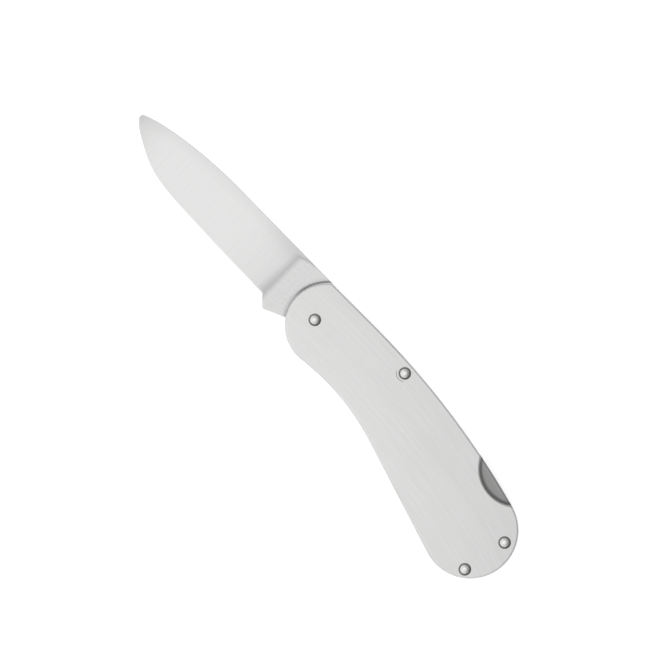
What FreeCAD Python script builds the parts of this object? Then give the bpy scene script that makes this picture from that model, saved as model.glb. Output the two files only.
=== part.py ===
"""Lock-back folding pocket knife with a bare two-plate steel handle, blade open.

The knife lies on its rear plate. X runs from the blade's tip to the butt, Y from the
cutting edge to the back, Z from the rear plate to the front plate. The origin is where
the pivot's axis meets the outer face of the rear plate.
"""

import FreeCAD
import Part
import math
import os

Vector = FreeCAD.Vector

# Blade, measured from the pivot
blade_reach = 71.2
blade_stock = 2.4
blade_back_rise = 10.55
back_sweep_start = 40.0
ricasso_length = 14.9
edge_drop = 4.85
tip_rise = 5.45
tip_radius = 1.0
tip_stock = 1.1
spine_grind = 0.2
spine_sweep_length = 6.5
spine_sweep_width = 1.3
edge_thickness = 0.1
bevel_height = 0.7
bevel_thickness = 0.4
plunge_run = 1.3
kick_set_back = 3.0
kick_depth = 2.75
kick_radius = 0.8
kick_gap = 0.35
kick_root_radius = 1.2

# Shares of the way from the heel to the tip, and of the rise between them
edge_shares = ((0.27, 0.033), (0.5, 0.083), (0.68, 0.15), (0.8, 0.305), (0.9, 0.58))
# Shares of the way from the start of the back's sweep to the tip, and of the fall
back_shares = ((0.33, 0.09), (0.65, 0.355), (0.85, 0.645))
grind_shares = (0.0, 0.2, 0.4, 0.56, 0.7, 0.82, 0.91, 0.97)
taper_start_share = 0.45
heel_edge_angle = 178.0
tip_edge_angle = 220.0
tip_back_angle = 114.0
plunge_angles = (0.0, 35.0, 62.0, 90.0)

# Tang
cam_radius = 7.0
shoulder_offset = 0.6
tooth_width = 2.6
tooth_height = 1.2
tooth_clearance = 0.1
tooth_side_gap = 0.15
seat_travel = 0.5
seat_clearance = 0.1
seat_flank = 0.6
cam_kick_angle = 222.0

# Handle outline
back_rise = 10.1
back_straight = 12.0
back_radius = 228.0
front_radius = 11.37
front_set_back = 3.5
front_rise = 1.25
front_corner_radius = 1.4
tail_radius = 12.85
belly_angle = 17.5
waist_radius = 66.0
tip_clearance = 1.8
spacer_width = 9.0

# Handle plates
plate_thickness = 2.2
plate_bevel = 0.55
notch_radius = 10.15
notch_depth = 3.75
notch_bevel = 0.35

# Rivets
rivet_diameter = 2.2
rivet_head_diameter = 2.6
rivet_dome = 0.6
rivet_seat_depth = 0.4
rivet_seat_gap = 0.33
rivet_clearance = 0.02
lock_rivet_reach = 26.9
lock_rivet_depth = 2.78
tail_back_margin = 3.2
tail_belly_margin = 2.45
tail_back_angle = 25.5
tail_belly_angle = -53.0

# Pivot fittings
bush_diameter = 4.6
running_clearance = 0.03
washer_thickness = 0.15
washer_diameter = 10.0
washer_play = 0.02

# Lock bar and its spring
bar_front_depth = 3.8
bar_rear_depth = 5.0
bar_side_clearance = 0.1
bar_boss_radius = 2.9
bar_blend_radius = 1.0
bar_end_gap = 0.8
bar_overlap = 0.5
spring_thickness = 0.8
spring_lead = 24.0
spring_overhang = 2.5
spring_contact_gap = 0.03
spring_root_angle = -6.6
spring_root_depth = 3.2
spring_slot_clearance = 0.04

# Points closer than this are one place
same_place = 0.0001


def heading(degrees):
    """Direction at an angle in the plane of the plates."""
    angle = math.radians(degrees)
    return Vector(math.cos(angle), math.sin(angle), 0)


def polar(radius, degrees, centre=Vector(0, 0, 0)):
    """Point at a radius and an angle round a centre."""
    return centre + heading(degrees) * radius


def bearing(centre, point):
    """Angle of a point round a centre, from 0 to a full turn."""
    step = point - centre
    return math.degrees(math.atan2(step.y, step.x)) % 360


def line(start, end):
    return Part.makeLine(start, end)


def arc(centre, radius, start_angle, end_angle):
    """Arc from one angle to another, in the direction that the angles run."""
    middle = polar(radius, (start_angle + end_angle) / 2, centre)
    ends = polar(radius, start_angle, centre), polar(radius, end_angle, centre)
    return Part.Arc(ends[0], middle, ends[1]).toShape()


def circles_meet(first, first_radius, second, second_radius, side):
    """Crossing of two circles, on the left (1) or right (-1) of the line between them."""
    along = second - first
    distance = along.Length
    along.normalize()
    run = (distance**2 + first_radius**2 - second_radius**2) / (2 * distance)
    offset = math.sqrt(first_radius**2 - run**2)
    return first + along * run + Vector(-along.y, along.x, 0) * (side * offset)


def tangent_point(point, centre, radius, side):
    """Where a line from a point touches a circle, on the circle's left (1) or right (-1)."""
    reach = (centre - point).Length
    swing = math.degrees(math.acos(radius / reach))
    return polar(radius, bearing(centre, point) - side * swing, centre)


def slab(edges, low, high):
    """Solid between two heights with the outline that the edges make."""
    face = Part.Face(Part.Wire(Part.__sortEdges__(edges)))
    face.translate(Vector(0, 0, low))
    return face.extrude(Vector(0, 0, high - low))


def rod(centre, diameter, low, high):
    base = Vector(centre.x, centre.y, low)
    return Part.makeCylinder(diameter / 2, high - low, base)


# Heights of the layers
gap = blade_stock + 2 * (washer_thickness + washer_play)
rear_inner = plate_thickness
front_inner = rear_inner + gap
front_outer = front_inner + plate_thickness
middle_height = rear_inner + gap / 2
bar_low = rear_inner + bar_side_clearance
bar_high = front_inner - bar_side_clearance

# Centres of the handle's arcs
pivot = Vector(0, 0, 0)
back_centre = Vector(back_straight, back_rise - back_radius, 0)
front_centre = Vector(front_set_back, front_rise, 0)
sweep_radius = math.hypot(blade_reach, tip_rise) + tip_clearance
butt_reach = sweep_radius + spacer_width
tail_centre = circles_meet(
    pivot, butt_reach - tail_radius, back_centre, back_radius - tail_radius, 1
)


def back_height(x):
    """Height of the handle's curved back at a place along the knife."""
    return back_centre.y + math.sqrt(back_radius**2 - (x - back_centre.x) ** 2)


lock_rivet = Vector(lock_rivet_reach, back_height(lock_rivet_reach) - lock_rivet_depth, 0)
tail_back = polar(tail_radius - tail_back_margin, tail_back_angle, tail_centre)
tail_belly = polar(tail_radius - tail_belly_margin, tail_belly_angle, tail_centre)
rivets = {
    "pivot_rivet": pivot,
    "lock_bar_rivet": lock_rivet,
    "tail_rivet_back": tail_back,
    "tail_rivet_belly": tail_belly,
}

# Lock bar's end short of the spacer, and the thumb notch just ahead of it
bar_end = circles_meet(pivot, sweep_radius - bar_end_gap, back_centre, back_radius, 1)
notch_swing = back_radius + notch_radius - notch_depth
notch_half = math.acos(
    (back_radius**2 + notch_swing**2 - notch_radius**2) / (2 * back_radius * notch_swing)
)
notch_lead = bar_overlap / back_radius + notch_half
notch_bearing = bearing(back_centre, bar_end) + math.degrees(notch_lead)
notch_centre = polar(notch_swing, notch_bearing, back_centre)


def handle_outline():
    """Outline of both plates: rounded front, straight then curved back, round butt, waisted belly."""
    rise = back_rise - front_centre.y
    corner = Vector(front_centre.x - math.sqrt(front_radius**2 - rise**2), back_rise, 0)
    back_start = Vector(back_centre.x, back_rise, 0)
    join_angle = bearing(back_centre, tail_centre)
    belly_normal = 270 - belly_angle
    belly_foot = polar(tail_radius, belly_normal, tail_centre)
    forward = heading(180 - belly_angle)
    outward = heading(belly_normal)
    start = belly_foot + outward * waist_radius - front_centre
    reach = front_radius + waist_radius
    half = start.dot(forward)
    run = -half - math.sqrt(half**2 - start.dot(start) + reach**2)
    waist_foot = belly_foot + forward * run
    waist_centre = waist_foot + outward * waist_radius
    front_low = bearing(front_centre, waist_centre)
    return [
        line(corner, back_start),
        arc(back_centre, back_radius, 90, join_angle),
        arc(tail_centre, tail_radius, join_angle, belly_normal - 360),
        line(belly_foot, waist_foot),
        arc(waist_centre, waist_radius, belly_normal - 180, bearing(waist_centre, front_centre)),
        arc(front_centre, front_radius, front_low, bearing(front_centre, corner)),
    ]


def upright_edges(solid, test):
    """Edges along Z whose place passes a test."""
    found = []
    for edge in solid.Edges:
        foot, head = edge.Vertexes[0].Point, edge.Vertexes[-1].Point
        upright = math.hypot(head.x - foot.x, head.y - foot.y) < same_place < abs(head.z - foot.z)
        if upright and test(foot):
            found.append(edge)
    return found


def plate(inner, outer):
    """Handle plate with bevelled outer edges, thumb notch and seats for the rivet heads."""
    low, high = min(inner, outer), max(inner, outer)
    body = slab(handle_outline(), low, high)
    corner = upright_edges(body, lambda p: p.x < 0 and p.y > front_centre.y)
    body = body.makeFillet(front_corner_radius, corner)
    rim = [e for e in body.Edges if all(abs(v.Z - outer) < same_place for v in e.Vertexes)]
    body = body.makeChamfer(plate_bevel, rim)
    body = body.cut(rod(notch_centre, 2 * notch_radius, low, high))
    into = Vector(0, 0, 1 if inner > outer else -1)
    mouth = Vector(notch_centre.x, notch_centre.y, outer)
    body = body.cut(Part.makeCone(notch_radius + notch_bevel, notch_radius, notch_bevel, mouth, into))
    seat = outer + into.z * rivet_seat_depth
    for place in rivets.values():
        bore = rivet_diameter + 2 * rivet_clearance
        body = body.cut(rod(place, bore, low, high))
        recess = rivet_head_diameter + 2 * rivet_seat_gap
        body = body.cut(rod(place, recess, min(seat, outer), max(seat, outer)))
    return body


def rivet(place):
    """Rivet turned from one profile: a shank with a domed head at each end."""
    shank = rivet_diameter / 2
    head = rivet_head_diameter / 2
    ball = (head**2 + rivet_dome**2) / (2 * rivet_dome)
    swing = math.asin(head / ball) / 2
    side = ball * math.sin(swing)
    drop = ball * math.cos(swing) - ball + rivet_dome
    low_seat = rivet_seat_depth
    high_seat = front_outer - rivet_seat_depth
    crown = front_outer + rivet_dome
    corners = [
        Vector(head, 0, 0),
        Vector(head, 0, low_seat),
        Vector(shank, 0, low_seat),
        Vector(shank, 0, high_seat),
        Vector(head, 0, high_seat),
        Vector(head, 0, front_outer),
    ]
    edges = [line(start, end) for start, end in zip(corners, corners[1:])]
    edges += [
        Part.Arc(corners[-1], Vector(side, 0, front_outer + drop), Vector(0, 0, crown)).toShape(),
        line(Vector(0, 0, crown), Vector(0, 0, -rivet_dome)),
        Part.Arc(Vector(0, 0, -rivet_dome), Vector(side, 0, -drop), corners[0]).toShape(),
    ]
    body = Part.Face(Part.Wire(edges)).revolve(pivot, Vector(0, 0, 1), 360)
    body.translate(place)
    return body


# Cutting edge and back of the blade
heel = Vector(-ricasso_length, -edge_drop, 0)
tip_centre = Vector(tip_radius - blade_reach, tip_rise, 0)
edge_end = polar(tip_radius, tip_edge_angle, tip_centre)
back_end = polar(tip_radius, tip_back_angle, tip_centre)
sweep_start = Vector(-back_sweep_start, blade_back_rise, 0)
shoulder_top = Vector(shoulder_offset, back_rise, 0)


def curve_through(start, end, shares, first_way, last_way):
    """Smooth curve between two points, through places given as shares of the way."""
    step = end - start
    points = [start]
    points += [start + Vector(step.x * along, step.y * across, 0) for along, across in shares]
    curve = Part.BSplineCurve()
    curve.interpolate(
        Points=points + [end], InitialTangent=first_way * step.Length, FinalTangent=last_way * step.Length
    )
    return curve


edge_curve = curve_through(
    heel, edge_end, edge_shares, heading(heel_edge_angle), heading(tip_edge_angle - 90)
)
back_way = sweep_start - shoulder_top
back_way.normalize()
back_curve = curve_through(sweep_start, back_end, back_shares, back_way, heading(tip_back_angle + 90))


def curve_height(curve, x):
    """Height of a curve that runs one way along X, at a place along the knife."""
    first, last = curve.FirstParameter, curve.LastParameter
    for _ in range(50):
        half = (first + last) / 2
        if curve.value(half).x > x:
            first = half
        else:
            last = half
    return curve.value(first).y


def blade_back_height(x):
    if x > sweep_start.x:
        share = (x - shoulder_top.x) / (sweep_start.x - shoulder_top.x)
        return shoulder_top.y + share * (sweep_start.y - shoulder_top.y)
    return curve_height(back_curve, x)


# Kick, and the turn that brings it up to the lock bar's underside
kick_centre = Vector(heel.x + kick_set_back, heel.y - kick_depth + kick_radius, 0)
kick_swing = math.hypot(kick_centre.x, kick_centre.y)
bar_underside = back_rise - bar_front_depth
kick_stop = math.asin((bar_underside - kick_gap - kick_radius) / kick_swing)
closed_turn = 360 + math.degrees(kick_stop) - bearing(pivot, kick_centre)

# Tooth of the lock bar at rest, and the floor of the seats that it drops into
tooth_front = shoulder_offset + tooth_side_gap
tooth_rear = tooth_front + tooth_width
tooth_tip_radius = cam_radius + tooth_clearance
seat_radius = tooth_tip_radius - seat_travel - seat_clearance


def on_circle(radius, x):
    """Angle on the upper half of a circle round the pivot, at a place along the knife."""
    return math.degrees(math.acos(x / radius))


def tang_outline():
    """Outline of the blade, from the tip by the edge, kick, cam and lock notch to the back."""
    cam_root = polar(cam_radius, cam_kick_angle)
    kick_front = tangent_point(heel, kick_centre, kick_radius, -1)
    kick_rear = tangent_point(cam_root, kick_centre, kick_radius, 1)
    flank = math.degrees(seat_flank / cam_radius)
    side = math.degrees(tooth_side_gap / cam_radius)
    seat_start = on_circle(seat_radius, tooth_rear) - side - closed_turn + 360
    seat_end = on_circle(seat_radius, tooth_front) + side - closed_turn + 360
    horn = tooth_rear + tooth_side_gap
    horn_top = on_circle(cam_radius, horn)
    floor_start = on_circle(seat_radius, horn)
    floor_end = on_circle(seat_radius, shoulder_offset)
    return [
        edge_curve.toShape(),
        line(heel, kick_front),
        arc(kick_centre, kick_radius, bearing(kick_centre, kick_front), bearing(kick_centre, kick_rear)),
        line(kick_rear, cam_root),
        arc(pivot, cam_radius, cam_kick_angle, seat_start - flank),
        line(polar(cam_radius, seat_start - flank), polar(seat_radius, seat_start)),
        arc(pivot, seat_radius, seat_start, seat_end),
        line(polar(seat_radius, seat_end), polar(cam_radius, seat_end + flank)),
        arc(pivot, cam_radius, seat_end + flank, horn_top + 360),
        line(polar(cam_radius, horn_top), polar(seat_radius, floor_start)),
        arc(pivot, seat_radius, floor_start, floor_end),
        line(polar(seat_radius, floor_end), shoulder_top),
        line(shoulder_top, sweep_start),
        back_curve.toShape(),
        arc(tip_centre, tip_radius, tip_back_angle, tip_edge_angle),
    ]


def grind_section(x, edge_y, back_y, back_half, depth_share):
    """Cross-section of the space that grinding clears on the front side of the blade."""
    stock_half = blade_stock / 2
    margin = blade_stock
    back_z = stock_half - depth_share * (stock_half - back_half)
    bevel_z = stock_half - depth_share * (stock_half - bevel_thickness / 2)
    edge_z = stock_half - depth_share * (stock_half - edge_thickness / 2)
    bevel_y = min(edge_y + bevel_height, (edge_y + back_y) / 2)
    rise = (back_z - bevel_z) / (back_y - bevel_y)
    fall = (bevel_z - edge_z) / (bevel_y - edge_y)
    points = [
        Vector(x, back_y + margin, back_z + rise * margin),
        Vector(x, bevel_y, bevel_z),
        Vector(x, edge_y - margin, edge_z - fall * margin),
        Vector(x, edge_y - margin, stock_half + margin),
        Vector(x, back_y + margin, stock_half + margin),
    ]
    return Part.makePolygon(points + points[:1])


def grind_cutter():
    """Space that the front grind clears, from the plunge line past the tip."""
    plunge_x = -ricasso_length
    full_back = blade_stock / 2 - spine_grind
    plunge = []
    for angle in plunge_angles:
        turn = math.radians(angle)
        x = plunge_x - plunge_run * (1 - math.cos(turn))
        depth = math.sin(turn)
        edge_y = curve_height(edge_curve, x)
        plunge.append(grind_section(x, edge_y, blade_back_height(x), full_back, depth))
    start = plunge_x - plunge_run
    length = blade_reach + start
    sections = []
    for share in grind_shares:
        x = start - share * length
        taper = max(0, share - taper_start_share) / (1 - taper_start_share)
        back_half = full_back - taper * (full_back - tip_stock / 2)
        sections.append(grind_section(x, curve_height(edge_curve, x), blade_back_height(x), back_half, 1))
    beyond = -blade_reach - tip_radius
    half = tip_radius / 2
    sections.append(grind_section(beyond, tip_rise - half, tip_rise + half, tip_stock / 2, 1))
    main = Part.makeLoft(sections, True)
    return Part.makeLoft(plunge, True, True).fuse(main)


def spine_sweep():
    """Space cleared where the front grind runs out along the back, behind the plunge line."""
    half = blade_stock / 2
    plunge_x = -ricasso_length
    back_y = blade_back_height(plunge_x)
    end_x = plunge_x + spine_sweep_length
    inner = Vector(plunge_x, back_y - spine_sweep_width, half)
    rear = Vector(end_x, blade_back_height(end_x), half) - inner
    low = Vector(plunge_x, back_y, half - spine_grind) - inner
    facet = Part.makePolygon([inner, inner + rear * 2, inner + low * 2, inner])
    lift = low.cross(rear)
    lift.normalize()
    if lift.z < 0:
        lift = -lift
    return Part.Face(facet).extrude(lift * blade_stock)


def blade():
    """Flat-ground blade with ricasso, kick and the tang's cam, lock notch and closed seat."""
    half = blade_stock / 2
    body = slab(tang_outline(), -half, half)
    root = polar(cam_radius, cam_kick_angle)
    corner = upright_edges(body, lambda p: (Vector(p.x, p.y, 0) - root).Length < same_place)
    body = body.makeFillet(kick_root_radius, corner)
    cutter = grind_cutter()
    body = body.cut(cutter)
    body = body.cut(cutter.mirror(pivot, Vector(0, 0, 1)))
    sweep = spine_sweep()
    body = body.cut(sweep)
    body = body.cut(sweep.mirror(pivot, Vector(0, 0, 1)))
    body = body.cut(rod(pivot, bush_diameter + 2 * running_clearance, -half, half))
    body.translate(Vector(0, 0, middle_height))
    return body


def lock_bar():
    """Rocker bar with a tooth over the tang, a boss on its rivet and a tail under the thumb."""
    rear_bearing = bearing(back_centre, bar_end)
    rear_under = back_radius - bar_rear_depth
    relief_radius = cam_radius + tooth_height
    relief_end = math.degrees(math.asin(bar_underside / relief_radius))
    drop = lock_rivet.y - bar_underside
    boss_front = Vector(lock_rivet.x - math.sqrt(bar_boss_radius**2 - drop**2), bar_underside, 0)
    boss_rear = circles_meet(back_centre, rear_under, lock_rivet, bar_boss_radius, -1)
    back_start = Vector(back_centre.x, back_rise, 0)
    nose = Vector(tooth_front, back_rise, 0)
    edges = [
        line(nose, back_start),
        arc(back_centre, back_radius, 90, rear_bearing),
        line(polar(back_radius, rear_bearing, back_centre), polar(rear_under, rear_bearing, back_centre)),
        arc(back_centre, rear_under, rear_bearing, bearing(back_centre, boss_rear)),
        arc(
            lock_rivet,
            bar_boss_radius,
            bearing(lock_rivet, boss_rear),
            bearing(lock_rivet, boss_front),
        ),
        line(boss_front, polar(relief_radius, relief_end)),
        arc(pivot, relief_radius, relief_end, on_circle(relief_radius, tooth_rear)),
        line(
            polar(relief_radius, on_circle(relief_radius, tooth_rear)),
            polar(tooth_tip_radius, on_circle(tooth_tip_radius, tooth_rear)),
        ),
        arc(
            pivot,
            tooth_tip_radius,
            on_circle(tooth_tip_radius, tooth_rear),
            on_circle(tooth_tip_radius, tooth_front),
        ),
        line(polar(tooth_tip_radius, on_circle(tooth_tip_radius, tooth_front)), nose),
    ]
    body = slab(edges, bar_low, bar_high)
    corners = (boss_front, boss_rear)
    blends = upright_edges(
        body, lambda p: any((Vector(p.x, p.y, 0) - c).Length < same_place for c in corners)
    )
    body = body.makeFillet(bar_blend_radius, blends)
    return body.cut(rod(lock_rivet, rivet_diameter + 2 * running_clearance, bar_low, bar_high))


# Spring: a leaf bowed so that it touches the bar's underside at one line
spring_touch = polar(
    back_radius - bar_rear_depth,
    bearing(back_centre, Vector(sweep_radius - spring_lead, back_height(sweep_radius - spring_lead), 0)),
    back_centre,
)
spring_up = spring_touch - back_centre
spring_up.normalize()
spring_top = spring_touch - spring_up * spring_contact_gap
spring_root = polar(sweep_radius, spring_root_angle)
spring_chord = spring_root - spring_top
spring_radius = -spring_chord.dot(spring_chord) / (2 * spring_chord.dot(spring_up))
spring_centre = spring_top - spring_up * spring_radius


def leaf(growth, start_angle, end_angle, low, high):
    """Length of the spring's bow, grown all round by an allowance."""
    outer = spring_radius + growth
    inner = spring_radius - spring_thickness - growth
    edges = [
        arc(spring_centre, outer, start_angle, end_angle),
        line(polar(outer, end_angle, spring_centre), polar(inner, end_angle, spring_centre)),
        arc(spring_centre, inner, end_angle, start_angle),
        line(polar(inner, start_angle, spring_centre), polar(outer, start_angle, spring_centre)),
    ]
    return slab(edges, low, high)


def spring_angles():
    """Angles of the spring's free end and of its end in the spacer."""
    free = bearing(spring_centre, spring_top) + math.degrees(spring_overhang / spring_radius)
    held = bearing(spring_centre, spring_root) - math.degrees(spring_root_depth / spring_radius)
    return free, held


def lock_spring():
    """Leaf spring with a rounded free end."""
    free, held = spring_angles()
    body = leaf(0, free, held, bar_low, bar_high)
    end = polar(spring_radius, free, spring_centre)
    corner = upright_edges(body, lambda p: (Vector(p.x, p.y, 0) - end).Length < same_place)
    return body.makeFillet(spring_thickness / 2, corner)


def tail_spacer():
    """Crescent that fills the butt outside the tip's sweep, with a slot for the spring."""
    free, held = spring_angles()
    body = slab(handle_outline(), rear_inner, front_inner)
    body = body.cut(rod(pivot, 2 * sweep_radius, rear_inner, front_inner))
    end = held - math.degrees(spring_slot_clearance / spring_radius)
    body = body.cut(leaf(spring_slot_clearance, free, end, rear_inner, front_inner))
    for place in (tail_back, tail_belly):
        body = body.cut(rod(place, rivet_diameter + 2 * rivet_clearance, rear_inner, front_inner))
    return body


def pivot_bush():
    """Sleeve on the pivot rivet that spaces the plates and carries the tang."""
    body = rod(pivot, bush_diameter, rear_inner, front_inner)
    return body.cut(rod(pivot, rivet_diameter + 2 * rivet_clearance, rear_inner, front_inner))


def pivot_washer(low):
    """Thin washer round the bush, between the tang and a plate."""
    high = low + washer_thickness
    body = rod(pivot, washer_diameter, low, high)
    return body.cut(rod(pivot, bush_diameter + 2 * running_clearance, low, high))


def main():
    os.makedirs("parts", exist_ok=True)
    pieces = {
        "front_plate": plate(front_inner, front_outer),
        "rear_plate": plate(rear_inner, 0),
        "blade": blade(),
        "lock_bar": lock_bar(),
        "lock_spring": lock_spring(),
        "tail_spacer": tail_spacer(),
        "pivot_bush": pivot_bush(),
        "pivot_washer_front": pivot_washer(front_inner - washer_thickness),
        "pivot_washer_rear": pivot_washer(rear_inner),
    }
    for name, place in rivets.items():
        pieces[name] = rivet(place)
    for name, shape in pieces.items():
        shape.exportStep("parts/" + name + ".step")


if __name__ == "__main__":
    main()
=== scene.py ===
import math

import bmesh
import bpy
import numpy as np
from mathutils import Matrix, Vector, geometry


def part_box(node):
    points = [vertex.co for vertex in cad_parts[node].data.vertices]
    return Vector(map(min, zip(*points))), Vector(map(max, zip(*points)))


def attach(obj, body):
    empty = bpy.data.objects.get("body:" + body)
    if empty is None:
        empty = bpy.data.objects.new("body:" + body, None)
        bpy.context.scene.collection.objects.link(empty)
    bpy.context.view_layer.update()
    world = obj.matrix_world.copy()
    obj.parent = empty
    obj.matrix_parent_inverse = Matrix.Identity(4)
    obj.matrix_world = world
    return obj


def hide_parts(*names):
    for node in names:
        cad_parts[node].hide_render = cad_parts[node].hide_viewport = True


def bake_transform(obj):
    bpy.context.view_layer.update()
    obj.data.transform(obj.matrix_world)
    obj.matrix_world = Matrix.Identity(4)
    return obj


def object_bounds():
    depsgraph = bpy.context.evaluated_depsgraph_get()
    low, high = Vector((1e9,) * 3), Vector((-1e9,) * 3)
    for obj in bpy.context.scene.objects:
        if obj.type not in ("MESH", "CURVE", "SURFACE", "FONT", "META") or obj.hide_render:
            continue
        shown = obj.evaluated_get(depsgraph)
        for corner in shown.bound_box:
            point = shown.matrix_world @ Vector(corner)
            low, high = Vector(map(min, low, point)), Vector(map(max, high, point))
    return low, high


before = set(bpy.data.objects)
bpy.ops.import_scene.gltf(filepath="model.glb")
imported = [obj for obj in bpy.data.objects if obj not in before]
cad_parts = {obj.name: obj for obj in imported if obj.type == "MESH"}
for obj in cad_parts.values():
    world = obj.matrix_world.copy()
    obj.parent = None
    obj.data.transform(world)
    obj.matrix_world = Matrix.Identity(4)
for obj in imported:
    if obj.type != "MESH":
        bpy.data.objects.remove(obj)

bl_info = {
    "name": "Lock-back pocket knife",
    "version": (1, 0, 0),
    "blender": (4, 5, 0),
    "location": "View3D > Sidebar > Knife",
    "description": "Dresses the packed lock-back knife in satin, brushed and polished steel",
    "category": "Object",
}

MM = 0.001
FULL_TURN = 2 * math.pi
QUARTER_TURN = math.pi / 2
PIVOT = np.zeros(2)

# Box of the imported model, and the heights between which its flat pieces lie
CAD_BOX = [list(corner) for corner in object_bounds()]
FRONT = [corner.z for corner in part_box("front_plate")]
REAR = [corner.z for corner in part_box("rear_plate")]
STOCK = [corner.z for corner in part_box("blade")]
BAR = [corner.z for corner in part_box("lock_bar")]

# Points closer than this are one, and sides within the next of a curve belong to it
SAME_PLACE = MM / 1000
ON_CURVE = 0.02 * MM
# Sines of the bends at which an outline counts as straight and as having a corner
STRAIGHT, CORNER = 0.01, 0.3
# Flat strip beside a rounded edge, and the room that a corner keeps free of points
STRIP = CORNER_ROOM = 0.06 * MM
# Edges that bend by more than this are shaded sharp
CREASE = math.radians(28)
# Spacing of points on outlines, and sides of round holes and rivets
PLATE_STEP, LEAF_STEP, TANG_STEP = 0.5 * MM, 0.4 * MM, 0.3 * MM
HOLE_SIDES, RIVET_SIDES = 72, 64
# Steps of a plate's rounded rim and of the other rounded edges
RIM_STEPS, EDGE_STEPS = 8, 6
# Attribute by which a mesh tells its finish where edges, grinds and rivet rings lie
MARK = "edge_mark"
# Filling a face: triangles within loops, and the gap in millimetres below which points are one
FILL_INSIDE, FILL_NEARNESS = 2, 1e-6
# Outputs of nodes: Object coordinates, an attribute's number and the Mix node's colour
OBJECT_OUT, FACTOR_OUT, COLOUR_OUT = 3, 2, 2

# Cutting edge and back: shares of the way from the heel, or from where the back starts to
# fall, to the tip along the knife and across it
EDGE_SHARES = ((0.27, 0.033), (0.5, 0.083), (0.68, 0.15), (0.8, 0.305), (0.9, 0.58))
BACK_SHARES = ((0.33, 0.09), (0.65, 0.355), (0.85, 0.645))
EDGE_POINTS, BACK_POINTS = 600, 400
TIP_STEP, UNDER_STEP, BACK_STEP = 0.02 * MM, 0.1 * MM, 0.2 * MM
# Direction of the edge at the heel, and the angles of the round tip's ends and of its point
HEEL_WAY, TIP_LOW, TIP_HIGH, TIP_POINT = (math.radians(a) for a in (178, 220, 114, 167))
# Angles on the cam of the kick's root and of the end of the blade's grid
KICK_ROOT, GRID_END = math.radians(222), math.radians(240)
# Hollow at the kick's root: its turn on the cam, its run up the kick and its points
ROOT_TURN, ROOT_RUN, ROOT_POINTS = 0.2, 1.4 * MM, 20
# Step by which the tang's outline starts inside the blade
TANG_TUCK = np.array([-0.02, 0.01]) * MM
# Cross-sections of the blade: on the ricasso, on the first share of the edge and on the rest
DULL_ROWS, HEEL_ROWS, EDGE_ROWS = 90, 20, 130
HEEL_SHARE = 0.04
# Columns of the bevel, and places of the face's columns, closer where the plunge line curls
BEVEL_COLUMNS = 6
FACE_SHARES = np.append(np.linspace(0, 0.88, 22), np.linspace(0.895, 1, 12))[None, 1:]
# How fast the curl fades along the edge, and the share of the way at which the back tapers
CURL_FADE, TAPER_START = 3, 0.45

# Points of a rivet's dome, and the stretch over which a thumb rounds the bar's edges
DOME_POINTS = 19
THUMB_SPAN = 50 * MM, 55 * MM
# Directions across a rivet: to its side away from the light, where painted shade falls, and to the
# setting tool's ring
SHADOW_WAY, WITNESS_WAY = (0.95, 0.31), (-0.23, -0.97)
# How far round a rivet painted shade reaches, how far across it changes, and the ring's radius
SHADE_REACH, SHADE_HALF, WITNESS_RADIUS = 2.4 * MM, 1.5 * MM, 2.25 * MM
# Stage: lines of the floor, direction of its dim side, key light, and the camera's own sizes
FLOOR_LINES = 41
BACK_WAY = 0.35, 0.94
KEY_PLACE = -0.7, -1.2, 0.55
SENSOR, CLIP_START = 36, 0.01


def length(name, description, millimetres):
    """Property that holds a length."""
    return bpy.props.FloatProperty(
        name=name, description=description, default=millimetres * MM, unit="LENGTH", precision=5
    )


def turn(name, description, degrees):
    """Property that holds an angle."""
    return bpy.props.FloatProperty(
        name=name, description=description, default=math.radians(degrees), subtype="ANGLE"
    )


def tint(name, description, colour):
    """Property that holds a colour."""
    return bpy.props.FloatVectorProperty(
        name=name, description=description, default=colour, subtype="COLOR", size=3, min=0, max=1
    )


def share(name, description, value):
    """Property that holds a share from none to all."""
    return bpy.props.FloatProperty(
        name=name, description=description, default=value, subtype="FACTOR", min=0, max=1
    )


def level(name, description, value, unit="NONE"):
    """Property that holds a brightness, or a number with a unit of its own."""
    return bpy.props.FloatProperty(
        name=name, description=description, default=value, unit=unit, min=0
    )


class HandleSizes(bpy.types.PropertyGroup):
    """Outline and edges of the two handle plates."""

    back_rise: length("Back rise", "Height of the back above the pivot", 10.1)
    back_straight: length("Back straight", "How far behind the pivot the back stays straight", 12)
    back_radius: length("Back radius", "Radius of the back's long curve", 228)
    front_radius: length("Front radius", "Radius of the round front end", 11.37)
    front_set_back: length("Front set back", "Centre of the front end, behind the pivot", 3.5)
    front_rise: length("Front rise", "Centre of the front end, above the pivot", 1.25)
    corner_radius: length("Corner radius", "Radius between front end and back", 1.4)
    tail_radius: length("Tail radius", "Radius of the round butt", 12.85)
    butt_reach: length("Butt reach", "Distance from the pivot to the butt", 82.208)
    belly_angle: turn("Belly angle", "Slope of the belly's straight run", 17.5)
    waist_radius: length("Waist radius", "Radius of the hollow in the belly", 66)
    rim_radius: length("Rim radius", "Rounding of the outer edges", 0.65)
    inner_ease: length("Inner ease", "Rounding of the edges next to the blade", 0.1)
    notch_radius: length("Notch radius", "Radius of the thumb notch", 10.15)
    notch_depth: length("Notch depth", "Depth of the thumb notch", 3.75)
    notch_ease: length("Notch ease", "Rounding of the thumb notch's lip", 0.3)
    spacer_radius: length("Spacer radius", "Distance from the pivot to the tail spacer", 73.208)
    spacer_ease: length("Spacer ease", "Rounding of the tail spacer's edges", 0.07)
    spacer_bore_ease: length("Spacer bore ease", "Rounding of the edges of its bores", 0.05)


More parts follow.
